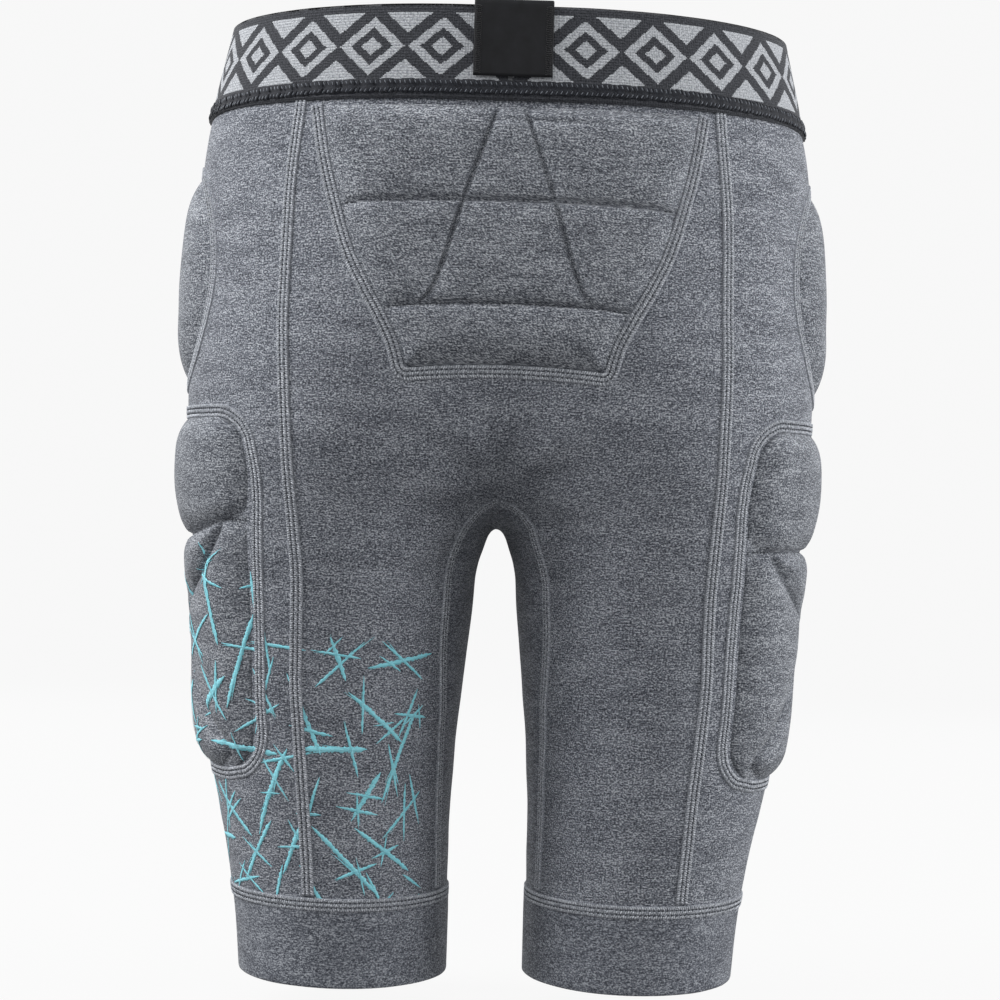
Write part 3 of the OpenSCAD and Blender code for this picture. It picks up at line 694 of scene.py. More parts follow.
def settle(obj, slot, *nodes, side=0, body="pelvis", size=None):
    """The CAD nodes that the piece stands for, which are hidden, and how it moves. Its finish (slot) and flat
    size (size) are not used.

    With a side the piece's transform is baked into its mesh; otherwise it moves with one body.
    """
    if nodes:
        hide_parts(*nodes)
    if side:
        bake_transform(obj)
    else:
        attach(obj, body)


def grid(first, last, step):
    """Even values from first to last, no more than step apart."""
    return np.linspace(first, last, max(3, math.ceil(abs(last - first) / step)))


# ---- Jersey ----


def centre_fabric(side, front):
    """Half of the back or front, from the waistband to the cuff, as far out as the long seam."""
    chart = turned(wall(front), side)
    # Columns crowd towards the centre line, where the seat folds
    f = np.concatenate(([0, 0.004, 0.009, 0.016, 0.026], np.linspace(0.04, 1, 50)))
    v = grid(0, 1, 1.9 / 393)
    across, down = np.meshgrid(f, v)
    crown = join_on(wall(front), f * 101) + 1
    z = crown + (CUFF_TOP - 0.5 - crown) * down
    inner = inner_x(GUSSET_LINE(z), z)
    edge = seam_x(z, side, front)
    x = inner + (edge - inner) * across

    def beside_seams(x, z, p):
        dips = pucker(seam_x(z, side, front) - x, z) + pucker(z - CUFF_TOP, x)
        return dips + pucker(x - inner_x(GUSSET_LINE(z), z), z) * (z < -236)

    place = worn(chart, PLAIN, beside_seams)
    mesh = Mesh()
    top = place(x, z)
    run = side * (spans(top, 1) + inner)
    add_shell(mesh, place, x, z, FABRIC, cloth=stack(run, z, 10.0 * front))
    word, crease, thigh = ("front", "groin", "front") if front > 0 else ("back", "seat", "rear")
    obj = mesh.make(f"{word}_fabric_{SIDES[side]}", MATERIAL["body"], exact=True)
    settle(obj, "body_jersey", f"{word}_panel", f"{crease}_crease_{SIDES[side]}",
           f"{thigh}_thigh_panel_{SIDES[side]}", side=side, size=flat_size(top))


def seam_angle(z, side, front):
    """Angle on the leg's ring of a long seam."""
    return front * np.arccos((seam_x(z, side, front) - CHORD(z)) / (OUT(z) - CHORD(z)))


def side_fabric(side):
    """Outer side, between the two long seams."""
    chart = turned(arc, side)
    share, down = np.meshgrid(np.linspace(-1, 1, 76), grid(0, 1, 2.1 / 393))
    crown = join_on(arc, share[0] * 1.2) + 1
    z = crown + (CUFF_TOP - 0.5 - crown) * down
    rear, fore = seam_angle(z, side, -1), seam_angle(z, side, 1)
    angle = rear + (fore - rear) * (share + 1) / 2

    def beside_seams(angle, z, p):
        near = np.minimum(seam_angle(z, side, 1) - angle, angle - seam_angle(z, side, -1))
        return pucker(near * 85, z) + pucker(z - CUFF_TOP, p[..., 1])

    place = worn(chart, ANGULAR, beside_seams)
    mesh = Mesh()
    top = add_shell(mesh, place, angle, z, FABRIC, tag=40.0 + 10 * side)
    obj = mesh.make(f"side_fabric_{SIDES[side]}", MATERIAL["body"], exact=True)
    nodes = [f"side_{part}_{SIDES[side]}" for part in ("panel", "crease", "thigh_panel")]
    settle(obj, "body_jersey", *nodes, side=side, size=flat_size(top))


def gusset_fabric(side):
    """Half of the gusset, from the cuff up to the ridge between the legs."""
    chart = turned(gusset(CUFF_TOP - 0.5), side)
    p, q = np.meshgrid(np.linspace(-1, 1, 42), np.linspace(0, 1, 110))
    place = worn(chart, SHARE, lambda p, q, point: pucker((1 - np.abs(p)) * 40, point[..., 2]))
    mesh = Mesh()
    top = place(p, q)
    run = spans(top, 1) + 60
    add_shell(mesh, place, p, q, FABRIC, cloth=stack(run, side * spans(top, 0), 70.0 + 10 * side))
    obj = mesh.make(f"gusset_fabric_{SIDES[side]}", MATERIAL["gusset"], exact=True)
    settle(obj, "gusset_jersey", "gusset_crotch", f"gusset_leg_{SIDES[side]}", side=side, size=flat_size(top))


def hem_profile(top, foot, outer, inner, step):
    """Closed profile (z, offset) of a doubled band: down the outside, round the hem and up the inside."""
    thick, middle = (outer - inner) / 2, (outer + inner) / 2
    turn = np.linspace(0, math.pi, 7)[1:-1]
    down = grid(top, foot + thick, step)
    return np.concatenate((
        np.stack((down, np.full_like(down, outer)), -1),
        np.stack((foot + thick - thick * np.sin(turn), middle + thick * np.cos(turn)), -1),
        np.stack((down[::-1], np.full_like(down, inner)), -1)))


def band_of(name, chart, profile, count, material, wave, pitch=None):
    """Ring of cloth with a closed profile; with a pitch, its coordinates run round it in whole repeats."""
    angle, row = np.meshgrid(np.linspace(0, 2 * math.pi, count, endpoint=False) - math.pi / 2,
                             np.arange(len(profile)), indexing="ij")
    z, offset = profile[row, 0], profile[row, 1]
    p = chart(angle, z)
    points = p + outward(chart, angle, z, p, ANGULAR) * (offset + wave(p))[..., None]
    half = len(profile) // 2
    loop = np.concatenate((points, points[:1]))[:, :half]
    if pitch is None:
        cloth = points[..., [0, 2, 1]]
    else:
        run = spans(loop, 0)[:, half // 2]
        cloth = stack((run[:-1] * pitch * round(run[-1] / pitch) / run[-1])[:, None], points[..., 2], 90.0)
    mesh = Mesh()
    add_tube(mesh, points, cloth)
    return mesh.make(name, material), flat_size(loop)


def cuff(side):
    """Doubled hem band of one leg."""
    profile = hem_profile(CUFF_TOP - 0.5, HEM, 0.5, -2.0, 2.0)

    def wave(p):
        gathers = pucker(CUFF_TOP - p[..., 2], np.arctan2(p[..., 1], np.abs(p[..., 0]) - 73) * 60)
        return 0.35 * drift(p, (18, 18, 40)) + gathers

    word = SIDES[side]
    obj, size = band_of(f"hem_cuff_{word}", turned(leg_ring, side), profile, 200, MATERIAL["cuff"], wave)
    settle(obj, "cuff_jersey", f"cuff_{word}", body=f"{word}_leg", size=size)


# ---- Waist ----


def waistband():
    profile = hem_profile(BAND_FOOT, BAND_TOP, 1.0, -1.5, 1.6)
    # The profile's round end is the band's top edge
    profile[:, 0] = np.where(profile[:, 0] > BAND_TOP, 2 * BAND_TOP - profile[:, 0], profile[:, 0])
    obj, size = band_of("waistband", ring, profile, 420, MATERIAL["band"],
                        lambda p: 0.12 * drift(p, (9, 9, 60)), MOTIF_PITCH)
    settle(obj, "band_elastic", "waistband_elastic", size=size)


# Across the overlock seam: place, height between threads and height at one
OVERLOCK = ((-4.0, 0.1, 0.1), (-3.7, 1.2, 0.9), (-2.6, 2.1, 1.8), (-0.7, 2.4, 2.1), (0.0, 2.0, 1.8),
            (0.7, 2.4, 2.1), (2.6, 2.2, 1.9), (3.6, 1.4, 1.1), (3.9, 0.2, 0.2))


def overlock():
    """Thick black overcast edge under the band, with two rows of lighter thread."""
    angle = np.linspace(0, 2 * math.pi, 500)
    z = join_on(ring, angle)
    p, normal, tangent, _, _ = even_path(ring, ANGULAR, angle, z, 1.2, closed=True)
    across = np.cross(normal, tangent)
    mesh = Mesh()
    add_ribbon(mesh, p, normal, across, OVERLOCK, True, 0)
    draw = np.random.default_rng(5)
    pick = np.arange(0, len(p), 2)
    for column, lean in ((-1.9, 30), (1.8, -24)):
        slant = np.radians(lean + draw.normal(0, 5, len(pick)))[:, None]
        along = tangent[pick] * np.sin(slant) + across[pick] * np.cos(slant)
        centre = p[pick] + across[pick] * (column + draw.normal(0, 0.15, (len(pick), 1))) + normal[pick] * 1.9
        add_bars(mesh, centre, along, normal[pick], 1.9, 0.55, 0.8, 1)
        add_bars(mesh, centre + tangent[pick] * 1.2, along, normal[pick], 3.2, 1.1, 1.1, 0)
    obj = mesh.make("waist_overlock", MATERIAL["overlock"], MATERIAL["fleck"])
    settle(obj, "black_overlock", "waistband_seam")


# Inner faces of the tab off the rear wall, outside and inside the band, and the tab's thickness
TAB_NEAR, TAB_FAR, TAB_THICK = 1.4, -1.9, 1.2


def tab():
    """Tab folded over the band at the centre back."""
    radius, middle = (TAB_NEAR - TAB_FAR) / 2, (TAB_NEAR + TAB_FAR) / 2
    turn = np.linspace(0, math.pi, 13)
    straight = grid(TAB_FOOT, 0.2, 1.5)
    inner = np.concatenate((
        np.stack((straight, np.full_like(straight, TAB_NEAR)), -1)[:-1],
        np.stack((0.2 + radius * np.sin(turn), middle + radius * np.cos(turn)), -1),
        np.stack((straight[::-1], np.full_like(straight, TAB_FAR)), -1)[1:]))
    lean = np.gradient(inner, axis=0)
    lean /= np.linalg.norm(lean, axis=1, keepdims=True)
    outer = inner - np.stack((lean[:, 1], -lean[:, 0]), -1) * TAB_THICK
    edges = [s * (TAB_HALF - d) for s in (-1, 1) for d in (0.3, 0.7)]
    rows = []
    for x in np.sort(np.concatenate((grid(-TAB_HALF, TAB_HALF, 1.6), edges))):
        # The edges round off over half a millimetre
        soft = 0.35 * max(0.0, 1 - (TAB_HALF - abs(x)) / 0.7) ** 2
        loop = np.concatenate((outer + (inner - outer) * soft, (inner + (outer - inner) * soft)[::-1]))
        base = wall(-1)(np.full(len(loop), x), np.minimum(loop[:, 0], 0))
        rows.append(stack(np.full(len(loop), x), base[:, 1] - loop[:, 1], loop[:, 0]))
    points = np.array(rows)
    count, cols = points.shape[:2]
    index = np.arange(count * cols).reshape(count, cols)
    index = np.concatenate((index, index[:, :1]), axis=1)
    half = len(inner)
    a = index[[0, -1], :half - 1]
    b = index[[0, -1]][:, 2 * half - 1 - np.arange(half - 1)]
    mesh = Mesh()
    mesh.add(points, [quads(index), np.stack((a, a + 1, b - 1, b), -1).reshape(-1, 4)])
    obj = mesh.make("back_tab_fold", MATERIAL["tab"])
    fix_normals(obj)
    settle(obj, "black_tab", "back_tab")


def tab_stitching():
    """A row of dense stitches along each edge of the tab."""
    mesh = Mesh()
    z = np.arange(TAB_FOOT + 1.2, -0.5, 0.9)
    for s in (-1, 1):
        x = np.full_like(z, s * (TAB_HALF - 2.2))
        up = np.tile((0.0, -1.0, 0.0), (len(z), 1))
        along = np.tile((1.0, 0.0, 0.14 * s), (len(z), 1)) / math.hypot(1, 0.14)
        add_bars(mesh, wall(-1)(x, z) + up * (TAB_NEAR + TAB_THICK + 0.15), along, up, 2.9, 0.85, 0.7, 0)
    settle(mesh.make("back_tab_satin", MATERIAL["satin"]), "black_thread", "back_tab_stitching")


def fix_normals(obj):
    """Faces of a closed mesh turned to point out."""
    work = bmesh.new()
    work.from_mesh(obj.data)
    bmesh.ops.recalc_face_normals(work, faces=work.faces)
    work.to_mesh(obj.data)
    work.free()


# ---- Pads ----

# A distance past the reach of any channel
FAR = 99.0


def gap_to(line, across, z):
    """Distance from a point to a line of stations, both measured across the pad."""
    lean = line(z + 0.5) - line(z - 0.5)
    return (line(z) - across) / np.sqrt(1 + lean**2)


def swell(distance, reach, power=2.5):
    return 1 - (1 - np.clip(distance / reach, 0, 1)) ** power


def tail_chart(x, z):
    """Rear wall with heights that arch up towards the middle, as the tailbone pad's rows do."""
    low = np.clip((TAIL_ROWS[0] - z) / (TAIL_ROWS[0] - TAIL_ROWS[3]), 0, 1.2)
    return wall(-1)(x, z + 3.0 * low * (1 - (x / 50) ** 2))


def tail_channels(x, z):
    """Distance to the nearest groove of the tailbone pad."""
    beside = np.where(z > TAIL_ROWS[2], np.abs(gap_to(TAIL_MIDDLE, np.abs(x), z)), FAR)
    return np.minimum(np.minimum(np.abs(z - TAIL_ROWS[1]), np.abs(z - TAIL_ROWS[2])), beside)


def tail_height(x, z):
    edge = np.minimum(gap_to(TAIL_EDGE, np.abs(x), z) - INSET, z - TAIL_ROWS[3] - INSET)
    rise = 6.2 * swell(edge, 15, 2.0) * swell(TAIL_ROWS[0] + 0.5 - z, 10, 2.0)
    cut = 1.2 * bell(tail_channels(x, z), 4.5) + 3.0 * bell(tail_channels(x, z), 1.1)
    # A small fold under the waistband
    cut = cut + 1.6 * bell(z + 56 + x / 40, 1.3) * bell(x - 12, 40)
    return 0.1 + rise - np.minimum(cut, rise * 0.85)


def thigh_rise(side, ahead, z):
    """How far the left pad's cross channel climbs towards the rear edge."""
    return 9.0 * (side < 0) * np.clip(-ahead / 60, 0, 1) ** 2 * bell(z + 258, 30)


def thigh_chart(side):
    return turned(lambda ahead, z: flank(ahead, z + thigh_rise(side, ahead, z)), side)


def thigh_channels(ahead, z):
    below = np.where(z < THIGH_ROWS[1], np.abs(gap_to(THIGH_MIDDLE, np.abs(ahead), z)), FAR)
    return np.minimum(np.abs(z - THIGH_ROWS[1]), below)


def thigh_edge_gap(ahead, z):
    ends = np.minimum(THIGH_ROWS[0] - z, z - THIGH_ROWS[2])
    return np.minimum(gap_to(THIGH_EDGE, np.abs(ahead), z), ends) - INSET


def thigh_height(ahead, z):
    rise = 6.6 * swell(thigh_edge_gap(ahead, z), 16)
    cut = 2.9 * bell(thigh_channels(ahead, z), 5.5) + 2.8 * bell(thigh_channels(ahead, z), 1.5)
    return 0.1 + rise - np.minimum(cut, rise * 0.92)


def hip_radius(ahead, z):
    return np.hypot(ahead / (HIP_ACROSS - INSET), (z - HIP_Z) / (HIP_UP - INSET))


def hip_height(ahead, z):
    edge = (1 - hip_radius(ahead, z)) * (HIP_ACROSS - INSET)
    return 0.1 + 6.6 * swell(edge, 22)


def tail_half(z):
    corner = 6.0
    near = np.clip(corner - (z - TAIL_ROWS[3] - INSET), 0, corner)
    return TAIL_EDGE(z) - INSET - corner + np.sqrt(corner**2 - near**2)


def thigh_half(z):
    middle, up = (THIGH_ROWS[0] + THIGH_ROWS[2]) / 2, (THIGH_ROWS[0] - THIGH_ROWS[2]) / 2
    return THIGH_EDGE(middle + (z - middle) * up / (up - INSET)) - INSET


def hip_half(z):
    up = HIP_UP - INSET
    return (HIP_ACROSS - INSET) * np.sqrt(np.clip(1 - ((z - HIP_Z) / up) ** 2, 0.02, None))


def no_channels(ahead, z):
    return np.full(np.broadcast(ahead, z).shape, FAR)


# Of each pad: half-width at a height, highest and lowest row, height, distance to a channel
PADS = {
    "tail": (tail_half, TAIL_ROWS[0], TAIL_ROWS[3] + INSET, tail_height, tail_channels),
    "thigh": (thigh_half, THIGH_ROWS[0] - INSET, THIGH_ROWS[2] + INSET, thigh_height, thigh_channels),
    "hip": (hip_half, HIP_Z + HIP_UP - INSET, HIP_Z - HIP_UP + INSET, hip_height, no_channels),
}
# The swelling: size of the cloth's cells, number of frames, greatest swell and what the modifier is told
CLOTH_STEP, CLOTH_FRAMES, CLOTH_CAP = 3.2, 20, 2.2
CLOTH = {
    "quality": 6, "mass": 0.2, "vertex_group_mass": "held",
    "use_pressure": True, "uniform_pressure_force": 4.0,
    "tension_stiffness": 12, "compression_stiffness": 12, "shear_stiffness": 4, "bending_stiffness": 0.4,
}


def pad_grid(kind, step):
    half, high, low, _, _ = PADS[kind]
    share, z = np.meshgrid(grid(-1, 1, step / half(np.linspace(low, high, 30)).max()), grid(high, low, step))
    return share, share * half(z), z


def start_cloth(kind):
    """The pad laid flat as a closed cloth, pinned at its edge, channels and underside."""
    _, across, z = pad_grid(kind, CLOTH_STEP)
    height, channels = PADS[kind][3:]
    top = stack(across, z, height(across, z) + 0.1)
    low = stack(across, z, -0.5)
    mesh = Mesh()
    mesh.add(np.stack((top, low)), [shell_parts(top, np.broadcast_to((0.0, 0.0, 1.0), top.shape))])
    obj = mesh.make(f"cloth_{kind}")
    held = channels(across, z) < CLOTH_STEP * 0.55
    held[0] = held[-1] = held[:, 0] = held[:, -1] = True
    held = np.concatenate((held.ravel(), np.ones(held.size, bool)))
    group = obj.vertex_groups.new(name="held")
    group.add(np.flatnonzero(held).tolist(), 1.0, "REPLACE")
    cloth = obj.modifiers.new("cloth", "CLOTH")
    for key, value in CLOTH.items():
        setattr(cloth.settings, key, value)
    cloth.settings.effector_weights.gravity = 0
    cloth.point_cache.frame_start, cloth.point_cache.frame_end = 1, CLOTH_FRAMES
    return obj, top


def smoothed(field, turns):
    for _ in range(turns):
        for axis in (0, 1):
            padded = np.concatenate((np.take(field, [0], axis), field, np.take(field, [-1], axis)), axis)
            count = field.shape[axis]
            near = np.take(padded, np.arange(count), axis)
            far = np.take(padded, np.arange(2, count + 2), axis)
            field = field / 2 + (near + far) / 4
    return field


def run_cloths():
    """How far the cloth swells off each pad's plain shape, as a grid of millimetres."""
    swells = {kind: np.zeros((2, 2)) for kind in PADS}
    started = {kind: start_cloth(kind) for kind in PADS}
    for count in range(1, CLOTH_FRAMES + 1):
        bpy.context.scene.frame_set(count)
    view = bpy.context.evaluated_depsgraph_get()
    for kind, (obj, top) in started.items():
        moved = obj.evaluated_get(view).to_mesh()
        points = np.empty(len(moved.vertices) * 3, np.float32)
        moved.vertices.foreach_get("co", points)
        points = points.reshape(2, *top.shape)[0] / MM
        rise = np.clip(points[..., 2] - top[..., 2], -CLOTH_CAP / 2, CLOTH_CAP)
        swells[kind] = smoothed(rise, 2)
        bpy.data.objects.remove(obj)
    bpy.context.scene.frame_set(1)
    return swells


def sample(field, row, col):
    """Field at places from 0 to 1 down and across it."""
    r, c = row * (field.shape[0] - 1), col * (field.shape[1] - 1)
    i, j = np.clip(r.astype(int), 0, field.shape[0] - 2), np.clip(c.astype(int), 0, field.shape[1] - 2)
    r, c = np.clip(r - i, 0, 1), np.clip(c - j, 0, 1)
    return ((1 - r) * ((1 - c) * field[i, j] + c * field[i, j + 1])
            + r * ((1 - c) * field[i + 1, j] + c * field[i + 1, j + 1]))


SWELLS = run_cloths()


def pad_lift(kind, across, z):
    """Height of a pad's outer face over the jersey."""
    half, high, low, height, channels = PADS[kind]
    share = across / np.maximum(half(z), 1)
    rise = sample(SWELLS[kind], (high - z) / (high - low), (share + 1) / 2)
    creases = -0.16 * (1 + np.sin(across * 1.1 + z * 1.1)) * bell(channels(across, z) - 4, 3)
    return height(across, z) + rise * swell(channels(across, z), 5) + creases


def pad(name, kind, chart, nodes, side=0):
    """Foam pad under its cover: one closed swollen form with sewn channels."""
    _, across, z = pad_grid(kind, 1.1)
    place = worn(chart, PLAIN, lambda u, v, p: pad_lift(kind, u, v))
    low = worn(chart, PLAIN, lambda u, v, p: -0.3)
    mesh = Mesh()
    add_shell(mesh, place, across, z, 0, tag=120.0 + 7 * side, low=low)
    obj = mesh.make(name, MATERIAL["pad"])
    settle(obj, "pad_jersey", *nodes, side=side)


def pads():
    columns = ("left", "centre", "right")
    tail_nodes = ["tailbone_foam_lower", "tailbone_pad_cover"]
    tail_nodes += [f"tailbone_foam_{row}_{column}" for row in ("upper", "middle") for column in columns]
    pad("tailbone_pad", "tail", tail_chart, tail_nodes)
    for side, word in SIDES.items():
        hip_nodes = [f"hip_foam_{word}", f"hip_pad_cover_{word}"]
        thigh_nodes = [f"thigh_pad_cover_{word}"]
        thigh_nodes += [f"thigh_foam_{cell}_{word}" for cell in ("top", "rear", "front", "centre")]
        pad(f"hip_pad_{word}", "hip", turned(flank, side), hip_nodes, side)
        pad(f"thigh_pad_{word}", "thigh", thigh_chart(side), thigh_nodes, side)


def channel_stitches(name, kind, chart, paths, side=0):
    """Stitches in a pad's sewn channels, dark to paint their shade. Each path is a list of (across, z)."""
    mesh = Mesh()
    for path in paths:
        across, z = np.array(path, float).T
        p, normal, tangent, across, z = even_path(chart, PLAIN, across, z, 1.3)
        centre = p + normal * (pad_lift(kind, across, z) + 0.15)[:, None]
        pick = np.arange(1, len(p) - 1, 2)
        add_bars(mesh, centre[pick], tangent[pick], normal[pick], 1.9, 0.75, 0.6, 0)
    settle(mesh.make(name, MATERIAL["painted_shade_bar"]), "pad_jersey", side=side)


def rows_and_sides(edge, rows, line, first, last):
    """Paths of the channels: across the pad at each row, and down it on both sides of its middle."""
    paths = []
    for z in rows:
        half = edge(z) - INSET - 2
        paths.append([(x, z) for x in np.linspace(-half, half, 60)])
    z = np.linspace(first, last, 60)
    return paths + [list(zip(s * line(z), z)) for s in (-1, 1)]


def all_channel_stitches():
    paths = rows_and_sides(TAIL_EDGE, TAIL_ROWS[1:3], TAIL_MIDDLE, TAIL_ROWS[0] - 3, TAIL_ROWS[2] + 1)
    channel_stitches("tailbone_channel_stitch", "tail", tail_chart, paths)
    paths = rows_and_sides(THIGH_EDGE, THIGH_ROWS[1:2], THIGH_MIDDLE, THIGH_ROWS[1] - 3, THIGH_ROWS[2] + 9)
    for side, word in SIDES.items():
        channel_stitches(f"thigh_channel_stitch_{word}", "thigh", thigh_chart(side), paths, side)


# ---- Seams ----


def rounded(corners, radius):
    """Path through a corner (across, z) between two ends, with a round turn."""
    before, here, after = np.array(corners, float)
    back, ahead = np.linalg.norm(before - here), np.linalg.norm(after - here)
    reach = min(radius, back / 2, ahead / 2)
    start, end = here + (before - here) / back * reach, here + (after - here) / ahead * reach
    path = [(1 - t) ** 2 * start + 2 * t * (1 - t) * here + t * t * end for t in np.linspace(0, 1, 8)]
    return [tuple(corners[0]), *map(tuple, path), tuple(corners[-1])]


def sew(name, node, chart, u, v, seed, step=PLAIN, closed=False, side=0, body="pelvis"):
    """A flatlock seam in the place of a CAD seam."""
    settle(flatlock(name, chart, step, u, v, closed, seed), "flatlock_thread", node, side=side, body=body)


def leg_seams(side, word):
    """The long seams and the gusset's seams of one half, and the seam over its cuff."""
    foot = CUFF_TOP + SEAM / 2 + 0.8
    q = np.linspace(0, 1, 300)
    for front, name in ((-1, "rear"), (1, "front")):
        z = np.linspace(foot, join_on(wall(front), np.array(101.0)) - 3, 200)
        sew(f"{name}_flatlock_{word}", f"{name}_seam_{word}", turned(wall(front), side),
            seam_x(z, side, front), z, 11 + side + 4 * front, side=side)
        sew(f"gusset_{name}_flatlock_{word}", f"gusset_{name}_seam", turned(gusset(foot), side),
            np.full_like(q, front), q, 31 + side + 4 * front, SHARE, side=side)
    angle = np.linspace(0, 2 * math.pi, 400)
    sew(f"cuff_flatlock_{word}", f"cuff_seam_{word}", turned(leg_ring, side), angle,
        np.full_like(angle, CUFF_TOP), 51 + side, ANGULAR, closed=True, body=f"{word}_leg")


def mirrored(path):
    """The whole outline of a pad, from its path on one side."""
    return np.array(path + [(-a, z) for a, z in path[-2::-1]]).T


def pad_seams(side, word):
    """The seams round the hip pad and the thigh pad."""
    chart = turned(flank, side)
    turn = np.linspace(0, 2 * math.pi, 200)
    sew(f"hip_flatlock_{word}", f"hip_pad_seam_{word}", chart, HIP_ACROSS * np.sin(turn),
        HIP_Z + HIP_UP * np.cos(turn), 61 + side, closed=True, side=side)
    top, foot = THIGH_ROWS[0], THIGH_ROWS[2]
    parts = (-197.5, -230, 20), (-240, -350, 22), (-354, -373, 10)
    z = np.concatenate([np.linspace(*part) for part in parts])
    edge = list(zip(THIGH_EDGE(z), z))
    path = rounded([(0, top), (64, top), edge[0]], 5)[:-1] + edge
    across, z = mirrored(path + rounded([edge[-1], (41, foot), (0, foot)], 5)[1:])
    sew(f"thigh_flatlock_{word}", f"thigh_pad_seam_{word}", chart, across, z, 71 + side, closed=True,
        side=side)


def seams():
    for side, word in SIDES.items():
        leg_seams(side, word)
        pad_seams(side, word)
    foot = TAIL_ROWS[3]
    z = np.linspace(TAIL_ROWS[0] + 1, foot + 9, 60)
    edge = list(zip(TAIL_EDGE(z), z))
    across, z = mirrored(edge + rounded([edge[-1], (TAIL_EDGE(foot), foot), (0, foot)], 9)[1:])
    sew("tailbone_flatlock", "tailbone_pad_seam", tail_chart, across, z, 81)


# ---- Scratch print on the left leg ----

# The print, measured round the left leg from the middle of its rear outwards, and down the garment
PRINT_ROWS = (-287, -313, -339, -364, -388, -411, -434)
PRINT_INNER, PRINT_OUTER, PRINT_PITCH = -60, 110, 31
PRINT_WAYS = (-0.1, 0.6, 1.15, -0.7, -1.1)
# The leg is nearly round, with about this radius
LEG_RADIUS = 72


def print_chart(run, z):
    return leg_ring(run / LEG_RADIUS - math.pi / 2, z) * np.array([-1.0, 1.0, 1.0])


def stroke(run, z, way, size, width):
    """A stroke through a place, cut short where it would leave the printed area."""
    ends = []
    for reach in (-size, size):
        du, dz = reach * math.cos(way), reach * math.sin(way)
        keep = min(1, max(0.05, ((PRINT_OUTER if du > 0 else PRINT_INNER) - run) / du))
        if dz < 0:
            keep = min(keep, max(0.05, (CUFF_TOP + 1 - z) / dz))
        ends += [run + du * keep, z + dz * keep]
    return (*ends, width)


def scratches(draw):
    """Ends and widths of the strokes: each bold one is crossed by a few thin ones."""
    strokes = []
    for row, level in enumerate(PRINT_ROWS):
        for middle in np.arange(PRINT_INNER + 6 + row % 2 * PRINT_PITCH / 2, PRINT_OUTER, PRINT_PITCH):
            run, z = middle + draw.uniform(-6, 6), level + draw.uniform(-6, 6)
            way = draw.choice(PRINT_WAYS) + draw.normal(0, 0.12)
            size, width = draw.uniform(11, 27), draw.uniform(1.6, 4.4)
            # The printed area starts lower towards the inner leg
            if z > -280 - 0.3 * max(0, 50 - run):
                continue
            strokes.append(stroke(run, z, way, size, width))
            for _ in range(draw.integers(1, 4)):
                slide = draw.uniform(-0.6, 0.6) * size
                crossing = way + draw.choice((-1, 1)) * draw.uniform(0.6, 1.5)
                strokes.append(stroke(run + slide * math.cos(way), z + slide * math.sin(way), crossing,
                                      draw.uniform(6, 17), draw.uniform(1.3, 2.0)))
    return strokes


def thigh_cover(p):
    """Height of the thigh pad, or of its seam, at points of the left flank."""
    ahead, z = p[..., 1] - MIDDLE(p[..., 2]), p[..., 2]
    z = z - thigh_rise(-1, ahead, z)
    inside = np.clip(thigh_edge_gap(ahead, z) / 0.6 + 1, 0, 1) * (np.abs(p[..., 0]) > 100)
    z = np.clip(z, THIGH_ROWS[2] + INSET, THIGH_ROWS[0] - INSET)
    return inside * (pad_lift("thigh", ahead, z) + 0.2)


def scratch_print():
    """Straight pointed strokes of ink with splinters beside them, a tenth of a millimetre thick."""
    draw = np.random.default_rng(23)
    mesh = Mesh()
    strokes = []
    for x, z, x2, z2, width in scratches(draw):
        strokes.append((x, z, x2, z2, 0.55 + width * 0.5))
        length, way = math.hypot(x2 - x, z2 - z), math.atan2(z2 - z, x2 - x)
        for _ in range(1 + (length > 20) + (width > 3)):
            # A splinter leaves the stroke at a slight angle
            t, reach = draw.uniform(0.1, 0.75), length * draw.uniform(0.2, 0.45)
            lean = way + draw.choice((-1, 1)) * draw.uniform(0.04, 0.16)
            sx, sz = x + (x2 - x) * t, z + (z2 - z) * t
            tip = sx + reach * math.cos(lean), sz + reach * math.sin(lean)
            strokes.append((sx, sz, *tip, draw.uniform(0.4, 0.7)))
    for x, z, x2, z2, width in strokes:
        length = math.hypot(x2 - x, z2 - z)
        count = max(6, round(length / 0.8))
        t = np.linspace(0, 1, count)
        side_way = np.array((-(z2 - z), x2 - x)) / length
        ragged = 1 + draw.uniform(-0.4, 0.4, (2, count))
        point = np.clip(np.minimum(t * length / 5, (1 - t) * length / 9), 0.06, 1) ** 0.7
        half = width / 2 * ragged * point
        offsets = np.stack((-half[0], 0 * t, half[1]), -1)
        u = x + (x2 - x) * t[:, None] + side_way[0] * offsets
        v = np.maximum(z + (z2 - z) * t[:, None] + side_way[1] * offsets, CUFF_TOP)
        place = worn(print_chart, PLAIN, lambda u, v, p: thigh_cover(p) + 0.15)
        add_shell(mesh, place, u, v, 0.1)
    settle(mesh.make("scratch_print", MATERIAL["print"]), "body_jersey", side=-1)


# ---- Stage ----


def area_light(name, place, aim, size, energy, tint=(1, 1, 1)):
    data = bpy.data.lights.new(name, "AREA")
    data.shape = "RECTANGLE"
    data.size, data.size_y = size
    data.energy = energy
    data.color = tint
    obj = bpy.data.objects.new(name, data)
    obj.location = place
    obj.rotation_mode = "QUATERNION"
    obj.rotation_quaternion = (Vector(aim) - Vector(place)).to_track_quat("-Z", "Y")
    bpy.context.scene.collection.objects.link(obj)


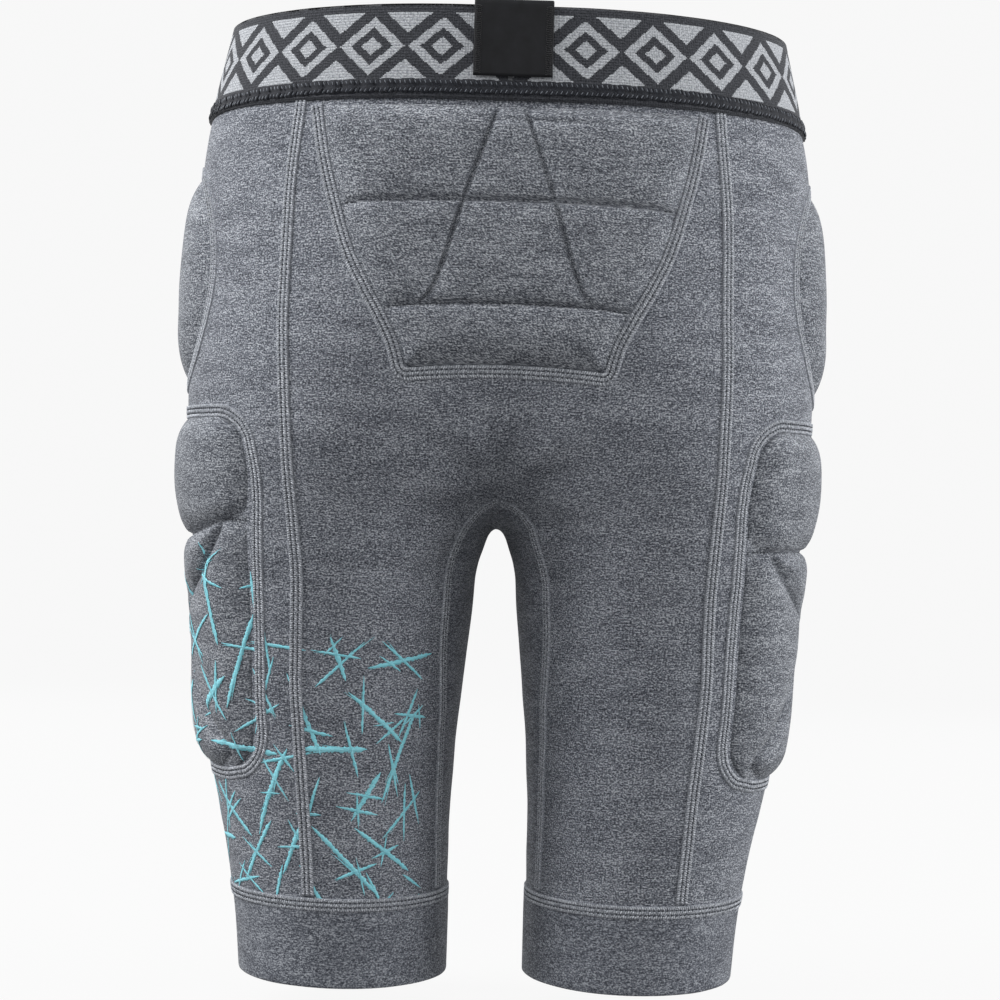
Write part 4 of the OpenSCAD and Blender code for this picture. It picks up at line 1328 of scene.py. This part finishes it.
def studio():
    """Pale floor that curves up into a backdrop all round, with soft lights at both sides."""
    floor = cad_low[2] - 0.02
    profile = [(0.0, 0.0), (2.2, 0.0)]
    profile += [(2.2 + 1.2 * math.sin(t), 1.2 - 1.2 * math.cos(t)) for t in np.linspace(0.1, math.pi / 2, 12)]
    profile += [(3.4, 3.6)]
    count = 72
    points = [(0.0, 0.0, floor)]
    points += [(r * math.cos(a), r * math.sin(a), floor + h) for r, h in profile[1:]
               for a in np.linspace(0, 2 * math.pi, count, endpoint=False)]
    faces = [(0, 1 + k, 1 + (k + 1) % count) for k in range(count)]
    for ring_start in range(1, 1 + count * (len(profile) - 2), count):
        faces += [(ring_start + k, ring_start + count + k, ring_start + count + (k + 1) % count,
                   ring_start + (k + 1) % count) for k in range(count)]
    mesh = bpy.data.meshes.new("backdrop")
    mesh.from_pydata(points, [], faces)
    mesh.polygons.foreach_set("use_smooth", [True] * len(mesh.polygons))
    shader = bpy.data.materials.new("backdrop")
    shader.use_nodes = True
    surface = shader.node_tree.nodes["Principled BSDF"]
    surface.inputs["Base Color"].default_value = (0.03, 0.03, 0.03, 1)
    surface.inputs["Roughness"].default_value = 1.0
    surface.inputs["Specular IOR Level"].default_value = 0.0
    surface.inputs["Emission Color"].default_value = (1, 1, 1, 1)
    surface.inputs["Emission Strength"].default_value = 0.92
    mesh.materials.append(shader)
    obj = bpy.data.objects.new("backdrop", mesh)
    # The backdrop is bright to the camera alone, so that the lights shape the cloth
    obj.visible_diffuse = obj.visible_glossy = False
    bpy.context.scene.collection.objects.link(obj)

    world = bpy.data.worlds.new("studio")
    world.use_nodes = True
    world.node_tree.nodes["Background"].inputs["Color"].default_value = (1, 1, 1, 1)
    world.node_tree.nodes["Background"].inputs["Strength"].default_value = 0.34
    bpy.context.scene.world = world
    middle = (0, 0, -0.23)
    area_light("soft_left", (-1.4, -0.25, 0.85), (0, 0, -0.05), (0.8, 1.3), 31)
    area_light("soft_right", (1.5, -0.2, 0.25), middle, (0.8, 1.6), 23)
    area_light("back_fill", (-0.3, -1.6, 1.1), (0, 0, -0.1), (1.6, 1.0), 11)
    area_light("front_left", (-1.0, 1.5, 0.5), middle, (0.9, 1.4), 12)
    area_light("front_right", (1.0, 1.5, 0.5), middle, (0.9, 1.4), 10)


CAMERA_DISTANCE, FRAME_WIDTH = 1.3, 0.515
CAMERA_TURN, CAMERA_ROLL = math.radians(-1), math.radians(1.6)
CAMERA_AIM = Vector((0.0013, 0.0, -0.236))


def camera():
    data = bpy.data.cameras.new("camera")
    data.sensor_width = 36
    data.lens = data.sensor_width * CAMERA_DISTANCE / FRAME_WIDTH
    obj = bpy.data.objects.new("camera", data)
    back = Vector((math.sin(CAMERA_TURN), -math.cos(CAMERA_TURN), 0))
    obj.location = CAMERA_AIM + back * CAMERA_DISTANCE
    obj.rotation_mode = "QUATERNION"
    obj.rotation_quaternion = (-back).to_track_quat("-Z", "Y") @ Quaternion((0, 0, 1), CAMERA_ROLL)
    bpy.context.scene.collection.objects.link(obj)
    bpy.context.scene.camera = obj


# ---- Everything ----

camera()
studio()
waistband()
overlock()
tab()
tab_stitching()
for side in SIDES:
    for front in (-1, 1):
        centre_fabric(side, front)
    side_fabric(side)
    gusset_fabric(side)
    cuff(side)
pads()
all_channel_stitches()
seams()
scratch_print()
bpy.context.scene.view_settings.view_transform = "Standard"
